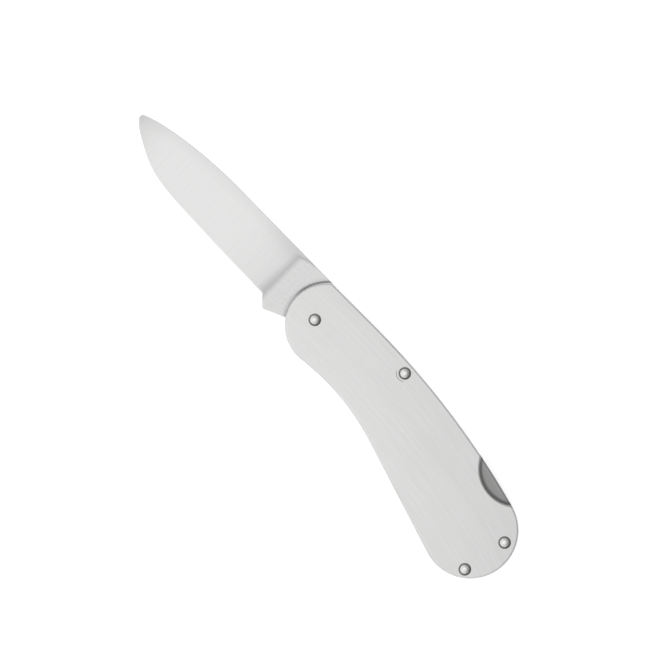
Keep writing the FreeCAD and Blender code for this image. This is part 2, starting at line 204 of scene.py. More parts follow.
class RivetSizes(bpy.types.PropertyGroup):
    """Four domed rivets and the seats they are set in."""

    lock_reach: length("Lock rivet reach", "Lock bar rivet, behind the pivot", 26.9)
    lock_depth: length("Lock rivet depth", "Lock bar rivet, below the back", 2.78)
    tail_back_margin: length("Back margin", "Back tail rivet, in from the butt", 3.2)
    tail_back_angle: turn("Back angle", "Back tail rivet, round the butt's centre", 25.5)
    tail_belly_margin: length("Belly margin", "Belly tail rivet, in from the butt", 2.45)
    tail_belly_angle: turn("Belly angle", "Belly tail rivet, round the butt's centre", -53)
    shank: length("Shank radius", "Radius of the rivets' shanks", 1.1)
    head: length("Head radius", "Radius of the rivets' heads", 1.3)
    dome: length("Dome", "Height of the domes above the plates", 0.6)
    flatness: share("Flatness", "Power that flattens the domes, 1 for round", 1.0)
    clearance: length("Clearance", "Gap between the shanks and their holes", 0.02)
    seat_radius: length("Seat radius", "Radius of the seats in the plates", 1.63)
    seat_depth: length("Seat depth", "Depth of the seats in the plates", 0.4)
    seat_ease: length("Seat ease", "Rounding of the seats' lips", 0.05)


class BladeSizes(bpy.types.PropertyGroup):
    """Outline and grind of the blade, measured from the pivot."""

    reach: length("Reach", "Distance from the pivot to the tip", 71.2)
    back_rise: length("Back rise", "Height of the back where it starts to fall", 10.55)
    back_fall_start: length("Fall start", "Where the back starts to fall to the tip", 40)
    ricasso: length("Ricasso", "Distance from the pivot to the plunge line", 14.9)
    edge_drop: length("Edge drop", "How far the heel lies below the pivot", 4.85)
    tip_rise: length("Tip rise", "Height of the tip above the pivot", 5.45)
    tip_radius: length("Tip radius", "Rounding of the tip in outline", 1.0)
    tip_half: length("Tip half", "Half the thickness of the back near the tip", 0.55)
    point_run: length("Point run", "Height of the blade below which its point thins out", 2.2)
    point_half: length("Point half", "Half the thickness of the back at the point", 0.1)
    point_bevel: length("Point bevel", "Half the thickness above the bevel at the point", 0.07)
    spine_grind: length("Back grind", "Depth of the grind at the back", 0.11)
    spine_ease: length("Back ease", "Rounding of the back's edges", 0.14)
    edge_half: length("Edge half", "Half the thickness of the cutting edge", 0.03)
    bevel_height: length("Bevel height", "Height of the sharpened bevel", 0.7)
    bevel_half: length("Bevel half", "Half the thickness above the bevel", 0.2)
    plunge_start: length("Plunge start", "Distance from the pivot to where the grind begins", 12.8)
    plunge_run: length("Plunge run", "Length of the curve at the plunge line", 4.8)
    curl_length: length("Curl length", "How far the plunge line curls along the back", 5.0)
    curl_height: length("Curl height", "Height over which it curls", 1.8)
    crown: length("Crown", "Bulge of the ground faces", 0.02)
    kick_set_back: length("Kick set back", "Kick behind the heel", 3.0)
    kick_depth: length("Kick depth", "Kick below the heel", 2.75)
    kick_radius: length("Kick radius", "Rounding of the kick", 0.8)
    cam_radius: length("Cam radius", "Radius of the tang's round end", 7.0)
    shoulder: length("Shoulder", "Lock shoulder behind the pivot", 0.6)
    notch_floor: length("Notch floor", "Radius of the lock notch's floor", 6.5)
    notch_width: length("Notch width", "Width of the lock notch", 2.9)
    seat_gap: length("Seat gap", "Gap beside the lock tooth in the closed seat", 0.15)
    seat_flank: length("Seat flank", "Run from the closed seat up to the cam", 0.6)
    closed_turn: turn("Closed turn", "Turn from the open to the closed blade", 172.33)
    bore: length("Bore radius", "Radius of the bore for the pivot bush", 2.33)
    tang_ease: length("Tang ease", "Rounding of the tang's edges", 0.06)


class LockSizes(bpy.types.PropertyGroup):
    """Rocker lock bar and the leaf spring under it."""

    nose: length("Nose", "Front of the bar behind the pivot", 0.75)
    tooth_width: length("Tooth width", "Width of the lock tooth", 2.6)
    tooth_radius: length("Tooth radius", "Radius of the lock tooth's tip round the pivot", 7.1)
    relief_radius: length("Relief radius", "Radius of the hollow behind the tooth", 8.2)
    front_depth: length("Front depth", "Depth of the bar ahead of its rivet", 3.8)
    rear_depth: length("Rear depth", "Depth of the bar behind its rivet", 5.0)
    boss: length("Boss radius", "Radius of the boss round the rivet", 2.9)
    blend: length("Blend", "Softness of the corners beside the boss", 0.3)
    end_gap: length("End gap", "Gap between bar and tail spacer", 0.8)
    overlap: length("Overlap", "How far the bar reaches past the thumb notch", 0.5)
    ease: length("Edge ease", "Rounding of the bar's edges", 0.1)
    back_ease: length("Back ease", "Rounding of the edges along the bar's back", 0.6)
    bore: length("Bore radius", "Radius of the bore for the lock bar rivet", 1.13)
    bore_ease: length("Bore ease", "Rounding of the bore's edges", 0.08)
    leaf: length("Leaf thickness", "Thickness of the leaf spring", 0.8)
    leaf_ease: length("Leaf ease", "Rounding of the leaf spring's edges", 0.15)
    leaf_lead: length("Leaf lead", "Where the spring touches the bar, ahead of the spacer", 24)
    leaf_overhang: length("Leaf overhang", "Spring past the place where it touches", 2.5)
    leaf_gap: length("Leaf gap", "Gap where the spring touches the bar", 0.03)
    leaf_angle: turn("Leaf angle", "Where the spring leaves the spacer, round the pivot", -6.6)
    leaf_hold: length("Leaf hold", "Length of the spring inside the spacer", 3.2)
    slot_gap: length("Slot gap", "Gap between spring and slot", 0.04)


class Finishes(bpy.types.PropertyGroup):
    """Colours of the finishes."""

    plate: tint("Plates", "Brushed steel of the plates", (0.57, 0.57, 0.567))
    blade: tint("Blade", "Satin steel of the blade", (0.66, 0.66, 0.657))
    bar: tint("Lock bar", "Ground steel of the bar and spacer", (0.265, 0.265, 0.263))
    rivet: tint("Rivets", "Polished steel of the rivets", (0.62, 0.62, 0.615))
    spring: tint("Spring", "Tempered steel of the leaf spring", (0.16, 0.17, 0.24))
    straw: tint("Straw", "Straw colour of its tempering", (0.3, 0.22, 0.14))
    bronze: tint("Bronze", "Bronze of the bush and washers", (0.62, 0.4, 0.2))
    # Colour of the painted shadow in the rivet seats
    seat_shade: tint("Soil", "Grime that stays in recesses", (0.05, 0.045, 0.04))
    wear: share("Wear", "How much handling shows", 0.5)


class StageSizes(bpy.types.PropertyGroup):
    """Floor, lights and camera."""

    width: length("Picture width", "Width of what the camera sees", 176.2)
    centre_x: length("Centre along", "Middle of the picture along the knife", 5.69)
    centre_y: length("Centre across", "Middle of the picture across the knife", 0.94)
    roll: turn("Roll", "Turn of the camera round its line of sight", 45)
    lens: level("Lens", "Focal length", 200, "CAMERA")
    floor: tint("Floor", "Pale floor", (0.62, 0.62, 0.62))
    floor_reach: length("Floor reach", "Half the width of the floor", 1500)
    glow: share("Floor glow", "Light that comes through the floor", 0.62)
    zenith: level("Zenith", "Brightness of the studio overhead", 1.42)
    bright_side: level("Bright side", "Brightness of the studio on the cutting edge's side", 1.1)
    dim_side: level("Dim side", "Brightness of the studio on the back's side", 0.6)
    key_power: level("Key light", "Power of the soft key light", 0.5, "POWER")
    key_size: length("Key size", "Width of the soft key light", 800)


def spot(centre, radius, angle):
    """Points at a radius and an angle round a centre."""
    return np.asarray(centre) + radius * np.stack([np.cos(angle), np.sin(angle)], -1)


def bearing(centre, point):
    """Angle of a point round a centre."""
    return math.atan2(point[1] - centre[1], point[0] - centre[0])


def angle_over(x, radius):
    """Angle at which a circle round the pivot stands above a place along the knife."""
    return math.acos(x / radius)


def bow(centre, radius, start, end, step):
    """Arc between two angles, as points a step apart."""
    count = max(3, int(abs(end - start) * radius / step) + 2)
    return spot(centre, radius, np.linspace(start, end, count))


def run(start, end, step):
    """Straight line between two points, as points a step apart."""
    count = max(2, int(math.dist(start, end) / step) + 2)
    return np.linspace(start, end, count)


def meet(first, first_radius, second, second_radius, side):
    """Crossing of two circles, on the left (1) or right (-1) of the line between them."""
    along = np.subtract(second, first)
    distance = np.hypot(*along)
    along = along / distance
    reach = (distance**2 + first_radius**2 - second_radius**2) / (2 * distance)
    offset = math.sqrt(first_radius**2 - reach**2)
    return first + along * reach + np.array([-along[1], along[0]]) * side * offset


def crossed(first, second):
    """Cross product of flat directions: the sine of the angle between unit ones."""
    return first[:, 0] * second[:, 1] - first[:, 1] * second[:, 0]


def middles(loop):
    """Middle of each side of an outline."""
    return (loop + np.roll(loop, -1, 0)) / 2


def joined(*lines):
    """Lines end to end, without the points that two of them share."""
    points = np.concatenate(lines)
    gaps = np.hypot(*np.diff(points, axis=0).T)
    return points[np.append(True, gaps > SAME_PLACE)]


def looped(*lines):
    """Lines end to end round a closed outline, without shared points, and without points of a
    smooth stretch that crowd a corner."""
    points = joined(*lines)
    points = points[:-1] if math.dist(points[0], points[-1]) < SAME_PLACE else points
    before, after = points - np.roll(points, 1, 0), np.roll(points, -1, 0) - points
    gap, next_gap = np.hypot(*before.T), np.hypot(*after.T)
    bend = np.abs(crossed(before, after)) / (gap * next_gap)
    return points[(bend > CORNER) | (np.minimum(gap, next_gap) > CORNER_ROOM)]


def along_line(points):
    """Distance of each point from the first, measured along the line."""
    return np.append(0, np.cumsum(np.hypot(*np.diff(points, axis=0).T)))


def evenly(points, shares):
    """Places on a line of points at shares of its length."""
    reach = along_line(points)
    wanted = np.asarray(shares) * reach[-1]
    return np.stack([np.interp(wanted, reach, points[:, i]) for i in range(2)], -1)


def inward(loop, depth=None):
    """For each corner of an outline that runs anticlockwise, the step that moves both sides
    in by one unit, or by each side's own share of it."""
    side = np.roll(loop, -1, 0) - loop
    side /= np.hypot(*side.T)[:, None]
    after = np.stack([-side[:, 1], side[:, 0]], -1)
    before = np.roll(after, 1, 0)
    depth = np.ones(len(loop)) if depth is None else depth
    deep_before = np.roll(depth, 1)
    cross = crossed(before, after)
    flat = np.abs(cross) < STRAIGHT
    safe = np.where(flat, 1, cross)
    x = (deep_before * after[:, 1] - depth * before[:, 1]) / safe
    y = (depth * before[:, 0] - deep_before * after[:, 0]) / safe
    mean = (before * deep_before[:, None] + after * depth[:, None]) / 2
    return np.where(flat[:, None], mean, np.stack([x, y], -1))


def rounded(ease, low, high, high_ease=None, steps=EDGE_STEPS):
    """Edge profile of a flat piece as pairs of inset and height: a flat strip, a quarter
    round, an upright wall, a quarter round and a flat strip."""
    high_ease = ease if high_ease is None else high_ease
    angle = np.linspace(0, QUARTER_TURN, steps + 1)
    near, far = 1 - np.sin(angle), 1 - np.cos(angle)
    sign = 1 if high > low else -1
    lower = np.stack([ease * near, low + sign * ease * far], -1)
    upper = np.stack([high_ease * far, high - sign * high_ease * near], -1)
    return np.concatenate([[(ease + STRIP, low)], lower, upper, [(high_ease + STRIP, high)]])


def raised(flat, profile):
    """Flat points of a grid, each column at the height of its point of the profile."""
    height = np.broadcast_to(profile[None, :, 1:], flat.shape[:2] + (1,))
    return np.concatenate([flat, height], -1)


def carried(loop, steps, profile):
    """Profile carried along an outline: each point moves along its own inward step by the
    profile's inset, and stands at the profile's height."""
    return raised(loop[:, None] + steps[:, None] * profile[None, :, :1], profile)


def turned(centre, profile, count):
    """Profile of radius and height turned once round an upright axis."""
    angle = np.arange(count) * FULL_TURN / count
    return raised(spot(centre, profile[None, :, :1], angle[:, None]), profile)


class Shell:
    """Gathers grids and flat fills into one closed mesh, with marks for the finish."""

    def __init__(self):
        self.points = []
        self.marks = []
        self.faces = []
        self.count = 0

    def grid(self, points, wrap=False, ring=False, marks=0.0):
        """Adds a grid of points and the faces between them. Wrap joins the last row to the
        first, and ring the last column to the first. Returns the grid's vertex numbers."""
        rows, columns = points.shape[:2]
        index = self.count + np.arange(rows * columns).reshape(rows, columns)
        self.points.append(points.reshape(-1, 3))
        self.marks.append(np.broadcast_to(marks, (rows, columns)).reshape(-1))
        self.count += rows * columns
        wide = np.concatenate([index, index[:1]]) if wrap else index
        if ring:
            wide = np.concatenate([wide, wide[:, :1]], 1)
        quads = np.stack([wide[:-1, :-1], wide[1:, :-1], wide[1:, 1:], wide[:-1, 1:]], -1)
        self.faces += quads.reshape(-1, 4).tolist()
        return index

    def fill(self, *loops):
        """Fills a flat face between its outer loop and the loops of its holes. Triangles whose
        corners all lie on one hole's loop cover that hole and are left out."""
        points = np.concatenate(self.points)
        index = np.concatenate(loops)
        edges = []
        start = 0
        for loop in loops:
            ends = start + np.arange(len(loop))
            edges += np.stack([ends, np.roll(ends, -1)], -1).tolist()
            start += len(loop)
        flat = [Vector(p) for p in (points[index, :2] / MM).tolist()]
        found = geometry.delaunay_2d_cdt(flat, edges, [], FILL_INSIDE, FILL_NEARNESS)
        owner = np.repeat(np.arange(len(loops)), [len(loop) for loop in loops])
        source = np.array([origin[0] for origin in found[3]])
        corners = source[np.array(found[2])]
        loop = owner[corners]
        within = (loop.min(1) == loop.max(1)) & (loop[:, 0] > 0)
        self.faces += index[corners[~within]].tolist()

    def stamp(self, loop, steps, profile, holes=(), marks=0.0):
        """Adds a flat piece: an edge profile carried round its outline, and a flat face on each
        side with a turned hole for each centre and profile given."""
        rim = self.grid(carried(loop, steps, profile), wrap=True, marks=marks)
        rings = [self.grid(turned(*hole, HOLE_SIDES), wrap=True) for hole in holes]
        for column in (0, -1):
            self.fill(rim[:, column], *(ring[:, column] for ring in rings))
        return self

    def piece(self, name, body, slot, replaced, material):
        """Makes the object: merges shared points, turns the faces outwards, shades it smooth
        up to a crease, and sets it on its body in its node's place."""
        mesh = bpy.data.meshes.new(name)
        mesh.from_pydata(np.concatenate(self.points).tolist(), [], self.faces)
        mark = mesh.attributes.new(MARK, "FLOAT", "POINT")
        mark.data.foreach_set("value", np.concatenate(self.marks).astype(np.float32))
        work = bmesh.new()
        work.from_mesh(mesh)
        bmesh.ops.remove_doubles(work, verts=work.verts, dist=SAME_PLACE / 2)
        bmesh.ops.holes_fill(work, edges=work.edges, sides=3)
        bmesh.ops.dissolve_degenerate(work, edges=work.edges, dist=SAME_PLACE / 5)
        bmesh.ops.recalc_face_normals(work, faces=work.faces)
        work.to_mesh(mesh)
        work.free()
        mesh.shade_smooth()
        mesh.set_sharp_from_angle(angle=CREASE)
        mesh.materials.append(material)
        made = bpy.data.objects.new(name, mesh)
        bpy.context.scene.collection.objects.link(made)
        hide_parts(replaced)
        if body:
            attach(made, body)
        return made


def handle_centres(h):
    """Centres of the back's curve, the front end and the butt."""
    back = np.array([h.back_straight, h.back_rise - h.back_radius])
    front = np.array([h.front_set_back, h.front_rise])
    tail = meet(PIVOT, h.butt_reach - h.tail_radius, back, h.back_radius - h.tail_radius, 1)
    return back, front, tail


def on_back(h, x):
    """Height of the back's curve at a place along the knife."""
    back = handle_centres(h)[0]
    return back[1] + math.sqrt(h.back_radius**2 - (x - back[0]) ** 2)


def bar_end(h, gap):
    """Where the lock bar ends on the back, a gap short of the spacer."""
    return meet(PIVOT, h.spacer_radius - gap, handle_centres(h)[0], h.back_radius, 1)


def notch_circle(h, lock):
    """Centre of the thumb notch, and the angles on the back's curve where it starts and ends."""
    back = handle_centres(h)[0]
    radius = h.back_radius
    start = bearing(back, bar_end(h, lock.end_gap)) + lock.overlap / radius
    swing = radius + h.notch_radius - h.notch_depth
    spread = math.acos((radius**2 + swing**2 - h.notch_radius**2) / (2 * radius * swing))
    return spot(back, swing, start + spread), start, start + 2 * spread


def waist_circle(h, front, foot):
    """Centre of the hollow in the belly and its end on the belly's straight run: the circle
    touches the round front end and the run, which leaves the butt at its foot."""
    outward = spot(PIVOT, 1, -QUARTER_TURN - h.belly_angle)
    forward = spot(PIVOT, 1, math.pi - h.belly_angle)
    start = foot + outward * h.waist_radius - front
    half = start @ forward
    reach = h.front_radius + h.waist_radius
    end = foot - forward * (half + math.sqrt(half**2 - start @ start + reach**2))
    return end + outward * h.waist_radius, end


def handle_outline(h, step, notch=None):
    """Outline of the plates, anticlockwise: back with its thumb notch where one is wanted,
    front end, waist, belly and butt. Also tells which sides belong to the notch."""
    back, front, tail = handle_centres(h)
    fillet_y = h.back_rise - h.corner_radius
    inner = h.front_radius - h.corner_radius
    fillet = np.array([front[0] - math.sqrt(inner**2 - (fillet_y - front[1]) ** 2), fillet_y])
    belly = -QUARTER_TURN - h.belly_angle
    foot = spot(tail, h.tail_radius, belly)
    waist, waist_end = waist_circle(h, front, foot)
    join = bearing(back, tail)
    corner = bearing(front, fillet)
    if notch is None:
        lines = [bow(back, h.back_radius, join, QUARTER_TURN, step)]
    else:
        centre, first, last = notch
        ends = (spot(back, h.back_radius, angle) for angle in (first, last))
        lines = [
            bow(back, h.back_radius, join, first, step),
            bow(centre, h.notch_radius, *(bearing(centre, end) % FULL_TURN for end in ends), step),
            bow(back, h.back_radius, last, QUARTER_TURN, step),
        ]
    loop = looped(
        *lines,
        run((h.back_straight, h.back_rise), (fillet[0], h.back_rise), step),
        bow(fillet, h.corner_radius, QUARTER_TURN, corner, step / 3),
        bow(front, h.front_radius, corner, bearing(front, waist) % FULL_TURN, step),
        bow(waist, h.waist_radius, bearing(waist, front), belly + math.pi, step),
        run(waist_end, foot, step),
        bow(tail, h.tail_radius, belly, join, step),
    )
    notched = np.zeros(len(loop), bool)
    if notch is not None:
        notched = np.hypot(*(middles(loop) - centre).T) < h.notch_radius + ON_CURVE
    return loop, notched


def rivet_places(h, r):
    """Places of the four rivets, by node name."""
    tail = handle_centres(h)[2]
    return {
        "pivot_rivet": PIVOT,
        "lock_bar_rivet": np.array([r.lock_reach, on_back(h, r.lock_reach) - r.lock_depth]),
        "tail_rivet_back": spot(tail, h.tail_radius - r.tail_back_margin, r.tail_back_angle),
        "tail_rivet_belly": spot(tail, h.tail_radius - r.tail_belly_margin, r.tail_belly_angle),
    }


def rivet_profile(r):
    """Rivet as pairs of radius and height: quarter of an ellipse for each dome, the head's
    wall down into its seat, and the shank between."""
    angle = np.linspace(0, QUARTER_TURN, DOME_POINTS)
    out = r.head * np.sin(angle) ** r.flatness
    up = r.dome * np.cos(angle) ** r.flatness
    foot = [(r.head, -r.seat_depth), (r.shank, -r.seat_depth)]
    dome = np.concatenate([np.stack([out, up], -1), foot])
    return np.concatenate([dome + [0, FRONT[1]], dome[::-1] * [1, -1] + [0, REAR[0]]])


def rivet_seat(r, inner, outer):
    """Hole for a rivet as pairs of radius and height: bore, flat seat, wall and eased lip."""
    down = -1 if outer > inner else 1
    bore = r.shank + r.clearance
    floor = outer + down * r.seat_depth
    lip = np.array([(0, down), (0.3, 0.3 * down), (1, 0), (2, 0)]) * r.seat_ease
    return np.concatenate(
        [[(bore, inner), (bore, floor), (r.seat_radius, floor)], lip + [r.seat_radius, outer]]
    )


def curve_through(points, first_way, last_way, count):
    """Smooth curve through points: a cubic spline on chord lengths whose ends leave in the
    given directions, with its slopes solved as one system."""
    reach = along_line(points)
    gap = np.diff(reach)
    secant = np.diff(points, axis=0) / gap[:, None]
    size = len(points)
    system = np.eye(size)
    wanted = np.zeros((size, 2))
    wanted[0], wanted[-1] = first_way, last_way
    for i in range(1, size - 1):
        system[i, i - 1 : i + 2] = gap[i], 2 * (gap[i - 1] + gap[i]), gap[i - 1]
        wanted[i] = 3 * (gap[i] * secant[i - 1] + gap[i - 1] * secant[i])
    slope = np.linalg.solve(system, wanted)
    place = np.linspace(0, reach[-1], count)
    part = np.clip(np.searchsorted(reach, place, "right") - 1, 0, size - 2)
    t = ((place - reach[part]) / gap[part])[:, None]
    step = gap[part][:, None]
    return (
        (2 * t**3 - 3 * t**2 + 1) * points[part]
        + (t**3 - 2 * t**2 + t) * step * slope[part]
        + (3 * t**2 - 2 * t**3) * points[part + 1]
        + (t**3 - t**2) * step * slope[part + 1]
    )


def by_shares(start, end, shares):
    """Points between two ends, at shares of the way along and across."""
    return np.concatenate([[start], start + (end - start) * np.array(shares), [end]])


def blade_under(b, heel):
    """Lower side of the ricasso, from the cam over a soft hollow at the kick's root and round
    the kick to the heel."""
    kick = heel + [b.kick_set_back, b.kick_radius - b.kick_depth]
    root = spot(PIVOT, b.cam_radius, KICK_ROOT)
    front = bearing(kick, heel) + math.acos(b.kick_radius / math.dist(kick, heel))
    rear = bearing(kick, root) - math.acos(b.kick_radius / math.dist(kick, root))
    rise = spot(kick, b.kick_radius, rear) - root
    before = spot(PIVOT, b.cam_radius, KICK_ROOT + ROOT_TURN)
    after = root + rise * ROOT_RUN / np.hypot(*rise)
    t = np.linspace(0, 1, ROOT_POINTS)[:, None]
    return joined(
        bow(PIVOT, b.cam_radius, GRID_END, KICK_ROOT + ROOT_TURN, UNDER_STEP),
        before * (1 - t) ** 2 + root * 2 * t * (1 - t) + after * t**2,
        run(after, spot(kick, b.kick_radius, rear), UNDER_STEP),
        bow(kick, b.kick_radius, rear % FULL_TURN, front % FULL_TURN, UNDER_STEP / 2),
        run(spot(kick, b.kick_radius, front), heel, UNDER_STEP),
    )


def blade_lines(b, h):
    """Cutting edge and back from the plunge line to the tip, and the ricasso's lower side
    from the tang to the heel, with the direction of the straight back. Edge and back are
    splines that run into the round tip."""
    heel = np.array([-b.ricasso, -b.edge_drop])
    tip = np.array([b.tip_radius - b.reach, b.tip_rise])
    edge = curve_through(
        by_shares(heel, spot(tip, b.tip_radius, TIP_LOW), EDGE_SHARES),
        spot(PIVOT, 1, HEEL_WAY),
        spot(PIVOT, 1, TIP_LOW - QUARTER_TURN),
        EDGE_POINTS,
    )
    edge = joined(edge, bow(tip, b.tip_radius, TIP_LOW, TIP_POINT, TIP_STEP))
    shoulder = np.array([b.shoulder, h.back_rise])
    fall = np.array([-b.back_fall_start, b.back_rise])
    way = (fall - shoulder) / math.dist(fall, shoulder)
    above = shoulder + way * (heel[0] - shoulder[0]) / way[0]
    back = curve_through(
        by_shares(fall, spot(tip, b.tip_radius, TIP_HIGH), BACK_SHARES),
        way,
        spot(PIVOT, 1, TIP_HIGH + QUARTER_TURN),
        BACK_POINTS,
    )
    round_tip = bow(tip, b.tip_radius, TIP_HIGH, TIP_POINT, TIP_STEP)
    back = joined(run(above, fall, BACK_STEP), back, round_tip)
    return edge, back, blade_under(b, heel), way


def blade_rows(b, h):
    """Ends of the blade's cross-sections on its lower side and on its back, from the tang to
    the tip. Also gives each section's share of the way to the tip, 0 on the ricasso, how near
    it is to the plunge line, 1 for at it, and the direction of the straight back."""
    edge, back, under, way = blade_lines(b, h)
    dull_or_shaded = evenly(under, np.linspace(0, 1, DULL_ROWS))
    above = back[0] + way * (dull_or_shaded[:, :1] - back[0, 0]) / way[0]
    heel = np.linspace(0, HEEL_SHARE, HEEL_ROWS + 1)[1:]
    left = (1 - np.linspace(0, 1, EDGE_ROWS + 1)[1:]) ** 1.5
    places = np.concatenate([heel, HEEL_SHARE + (1 - HEEL_SHARE) * (1 - left)])
    low = np.concatenate([dull_or_shaded, evenly(edge, places)])
    high = np.concatenate([above, evenly(back, places)])
    place = np.concatenate([np.zeros(DULL_ROWS), places])[:, None]
    behind = (dull_or_shaded[:, 0] + b.ricasso) / (dull_or_shaded[0, 0] + b.ricasso)
    near = np.maximum(0, 1 - np.concatenate([behind, places * CURL_FADE]))[:, None]
    return low, high, place, near, way


def blade_grid(b, h):
    """Blade from the tang to the tip. Rows are cross-sections, each from a point of the lower
    side to a point of the back; columns go up the front face, over the back and down the rear
    face. Half the thickness is the full stock on the ricasso and runs straight from the bevel
    to the back on the ground part. Between them it follows a smooth step, along a plunge line
    that curls towards the handle near the back."""
    low, high, place, near, way = blade_rows(b, h)
    half = (STOCK[1] - STOCK[0]) / 2
    middle = (STOCK[1] + STOCK[0]) / 2
    depth = np.clip((-b.plunge_start - low[:, :1]) / b.plunge_run, 0, 1)
    ground = depth**2 * (3 - 2 * depth)
    span = np.hypot(*(high - low).T)[:, None]
    upward = (high - low) / np.maximum(span, SAME_PLACE / 10)
    upward[-1] = upward[-2]
    # Half thickness at the back and above the bevel, both less towards the point
    point = np.clip(span / b.point_run, 0, 1)
    point = point * (2 - point)
    taper = np.maximum(0, place - TAPER_START) / (1 - TAPER_START)
    spine = half - b.spine_grind - taper * (half - b.spine_grind - b.tip_half)
    spine = half + (b.point_half + (spine - b.point_half) * point - half) * ground
    shoulder = b.point_bevel + (b.bevel_half - b.point_bevel) * point
    ease = np.minimum(b.spine_ease, span / 6) * np.minimum(1, 0.3 + point)
    ease = np.minimum(ease, spine / 2)
    # Bevel on the ground part, rounded lower edge on the ricasso
    t = np.linspace(0, 1, BEVEL_COLUMNS)[None]
    near_edge, near_face = np.cos(t * QUARTER_TURN), np.sin(t * QUARTER_TURN)
    round_out = b.spine_ease * (1 - near_edge)
    round_up = half - b.spine_ease * (1 - near_face)
    bevel = np.minimum(b.bevel_height, span / 3)
    bevel_out = round_out + (bevel * t - round_out) * ground
    bevel_up = round_up + (b.edge_half + (shoulder - b.edge_half) * t - round_up) * ground
    # Face with its slight crown, then the rounded edge of the back
    foot, knee = bevel_out[:, -1:], bevel_up[:, -1:]
    face_out = foot + (span - ease - foot) * FACE_SHARES
    crown = b.crown * ground * point * 4 * FACE_SHARES * (1 - FACE_SHARES)
    face_up = knee + (spine - knee) * FACE_SHARES + crown
    back_out = span - ease * (1 - near_face[:, 1:])
    back_up = spine - ease * (1 - near_edge[:, 1:])
    wall_up = bevel_up[:, :1] * np.array([[0, 0.5]])
    top_up = back_up[:, -1:] * np.array([[0.5, 0]])
    out = np.concatenate([wall_up * 0, bevel_out, face_out, back_out, top_up * 0 + span], 1)
    up = np.concatenate([wall_up, bevel_up, face_up, back_up, top_up], 1)
    up[-1] = 0
    curl = np.clip((out - span + b.curl_height) / b.curl_height, 0, 1) ** 2 * b.curl_length
    flat = low[:, None] + upward[:, None] * out[..., None] - way * (curl * near)[..., None]
    # Marks are 0 on the ricasso, 1 on the ground faces and 2 on the bevel
    marks = np.broadcast_to(ground, up.shape).copy()
    marks[:, : BEVEL_COLUMNS + 1] *= 2
    side = np.concatenate([flat, (middle + up)[..., None]], -1)
    other = np.concatenate([flat, (middle - up)[..., None]], -1)[:, -2:0:-1]
    return np.concatenate([side, other], 1), np.concatenate([marks, marks[:, -2:0:-1]], 1)


def tang_outline(b, h, step):
    """Round end of the tang, anticlockwise from its lower side: cam, seat for the closed
    lock, cam, horn, lock notch, shoulder and back. Also tells how far each side is eased: all
    but the last, which lies inside the blade."""
    horn = b.shoulder + b.notch_width
    side, flank = b.seat_gap / b.cam_radius, b.seat_flank / b.cam_radius
    closed = FULL_TURN - b.closed_turn
    seat_start = angle_over(horn - b.seat_gap, b.notch_floor) - side + closed
    seat_end = angle_over(b.shoulder + b.seat_gap, b.notch_floor) + side + closed
    way = np.array([-b.back_fall_start - b.shoulder, b.back_rise - h.back_rise])
    first = spot(PIVOT, b.cam_radius, GRID_END) + TANG_TUCK
    shoulder = np.array([b.shoulder, h.back_rise])
    last = shoulder + way * (first[0] - shoulder[0]) / way[0]
    horn_angle = angle_over(horn, b.cam_radius)
    floor = angle_over(horn, b.notch_floor), angle_over(b.shoulder, b.notch_floor)
    outside = joined(
        [first],
        [spot(PIVOT, b.cam_radius, seat_start - flank)],
        bow(PIVOT, b.notch_floor, seat_start, seat_end, step),
        bow(PIVOT, b.cam_radius, seat_end + flank, horn_angle + FULL_TURN, step),
        run(spot(PIVOT, b.cam_radius, horn_angle), spot(PIVOT, b.notch_floor, floor[0]), step),
        bow(PIVOT, b.notch_floor, *floor, step),
        run(spot(PIVOT, b.notch_floor, floor[1]), shoulder, step),
        run(shoulder, last, step),
    )
    depth = np.ones(len(outside))
    depth[-1] = 0
    return outside, depth


def bar_outline(lock, h, rivet, step):
    """Lock bar, anticlockwise: curved back, nose, tooth, relief, underside with the boss, end.
    The underside is the lower of bar and boss, with the corner between them softened."""
    back = handle_centres(h)[0]
    end = bearing(back, bar_end(h, lock.end_gap))
    under = h.back_rise - lock.front_depth
    rear = h.back_radius - lock.rear_depth
    heel = lock.nose + lock.tooth_width
    tooth = [angle_over(x, lock.tooth_radius) for x in (lock.nose, heel)]
    relief = angle_over(heel, lock.relief_radius), math.asin(under / lock.relief_radius)
    first = lock.relief_radius * math.cos(relief[1])
    last = spot(back, rear, end)
    x = np.linspace(first, last[0], int((last[0] - first) / step))
    bar = np.where(x < rivet[0], under, back[1] + np.sqrt(rear**2 - (x - back[0]) ** 2))
    reach = np.clip(1 - ((x - rivet[0]) / lock.boss) ** 2, 0, None)
    boss = np.where(reach > 0, rivet[1] - lock.boss * np.sqrt(reach), bar + MM)
    mix = np.clip(0.5 + (bar - boss) / (2 * lock.blend), 0, 1)
    low = bar + (boss - bar) * mix - lock.blend * mix * (1 - mix)
    tooth_ends = [spot(PIVOT, lock.tooth_radius, angle) for angle in tooth]
    return looped(
        bow(back, h.back_radius, end, QUARTER_TURN, step),
        run((h.back_straight, h.back_rise), (lock.nose, h.back_rise), step),
        run((lock.nose, h.back_rise), tooth_ends[0], step),
        bow(PIVOT, lock.tooth_radius, *tooth, step),
        run(tooth_ends[1], spot(PIVOT, lock.relief_radius, relief[0]), step),
        bow(PIVOT, lock.relief_radius, *relief, step),
        np.stack([x, low], -1),
        run(last, spot(back, h.back_radius, end), 3 * step),
    )


def bar_easing(loop, lock, h):
    """Share of the back's rounding that each side of the bar's outline gets: half of it along
    the back, all of it where a thumb presses, and a small ease elsewhere."""
    back = handle_centres(h)[0]
    middle = middles(loop)
    curved = np.hypot(*(middle - back).T)
    top = np.where(middle[:, 0] > back[0], curved, middle[:, 1] - back[1])
    along = np.interp(middle[:, 0], THUMB_SPAN, (0.5, 1.0))
    return np.where(top > h.back_radius - ON_CURVE, along, lock.ease / lock.back_ease)


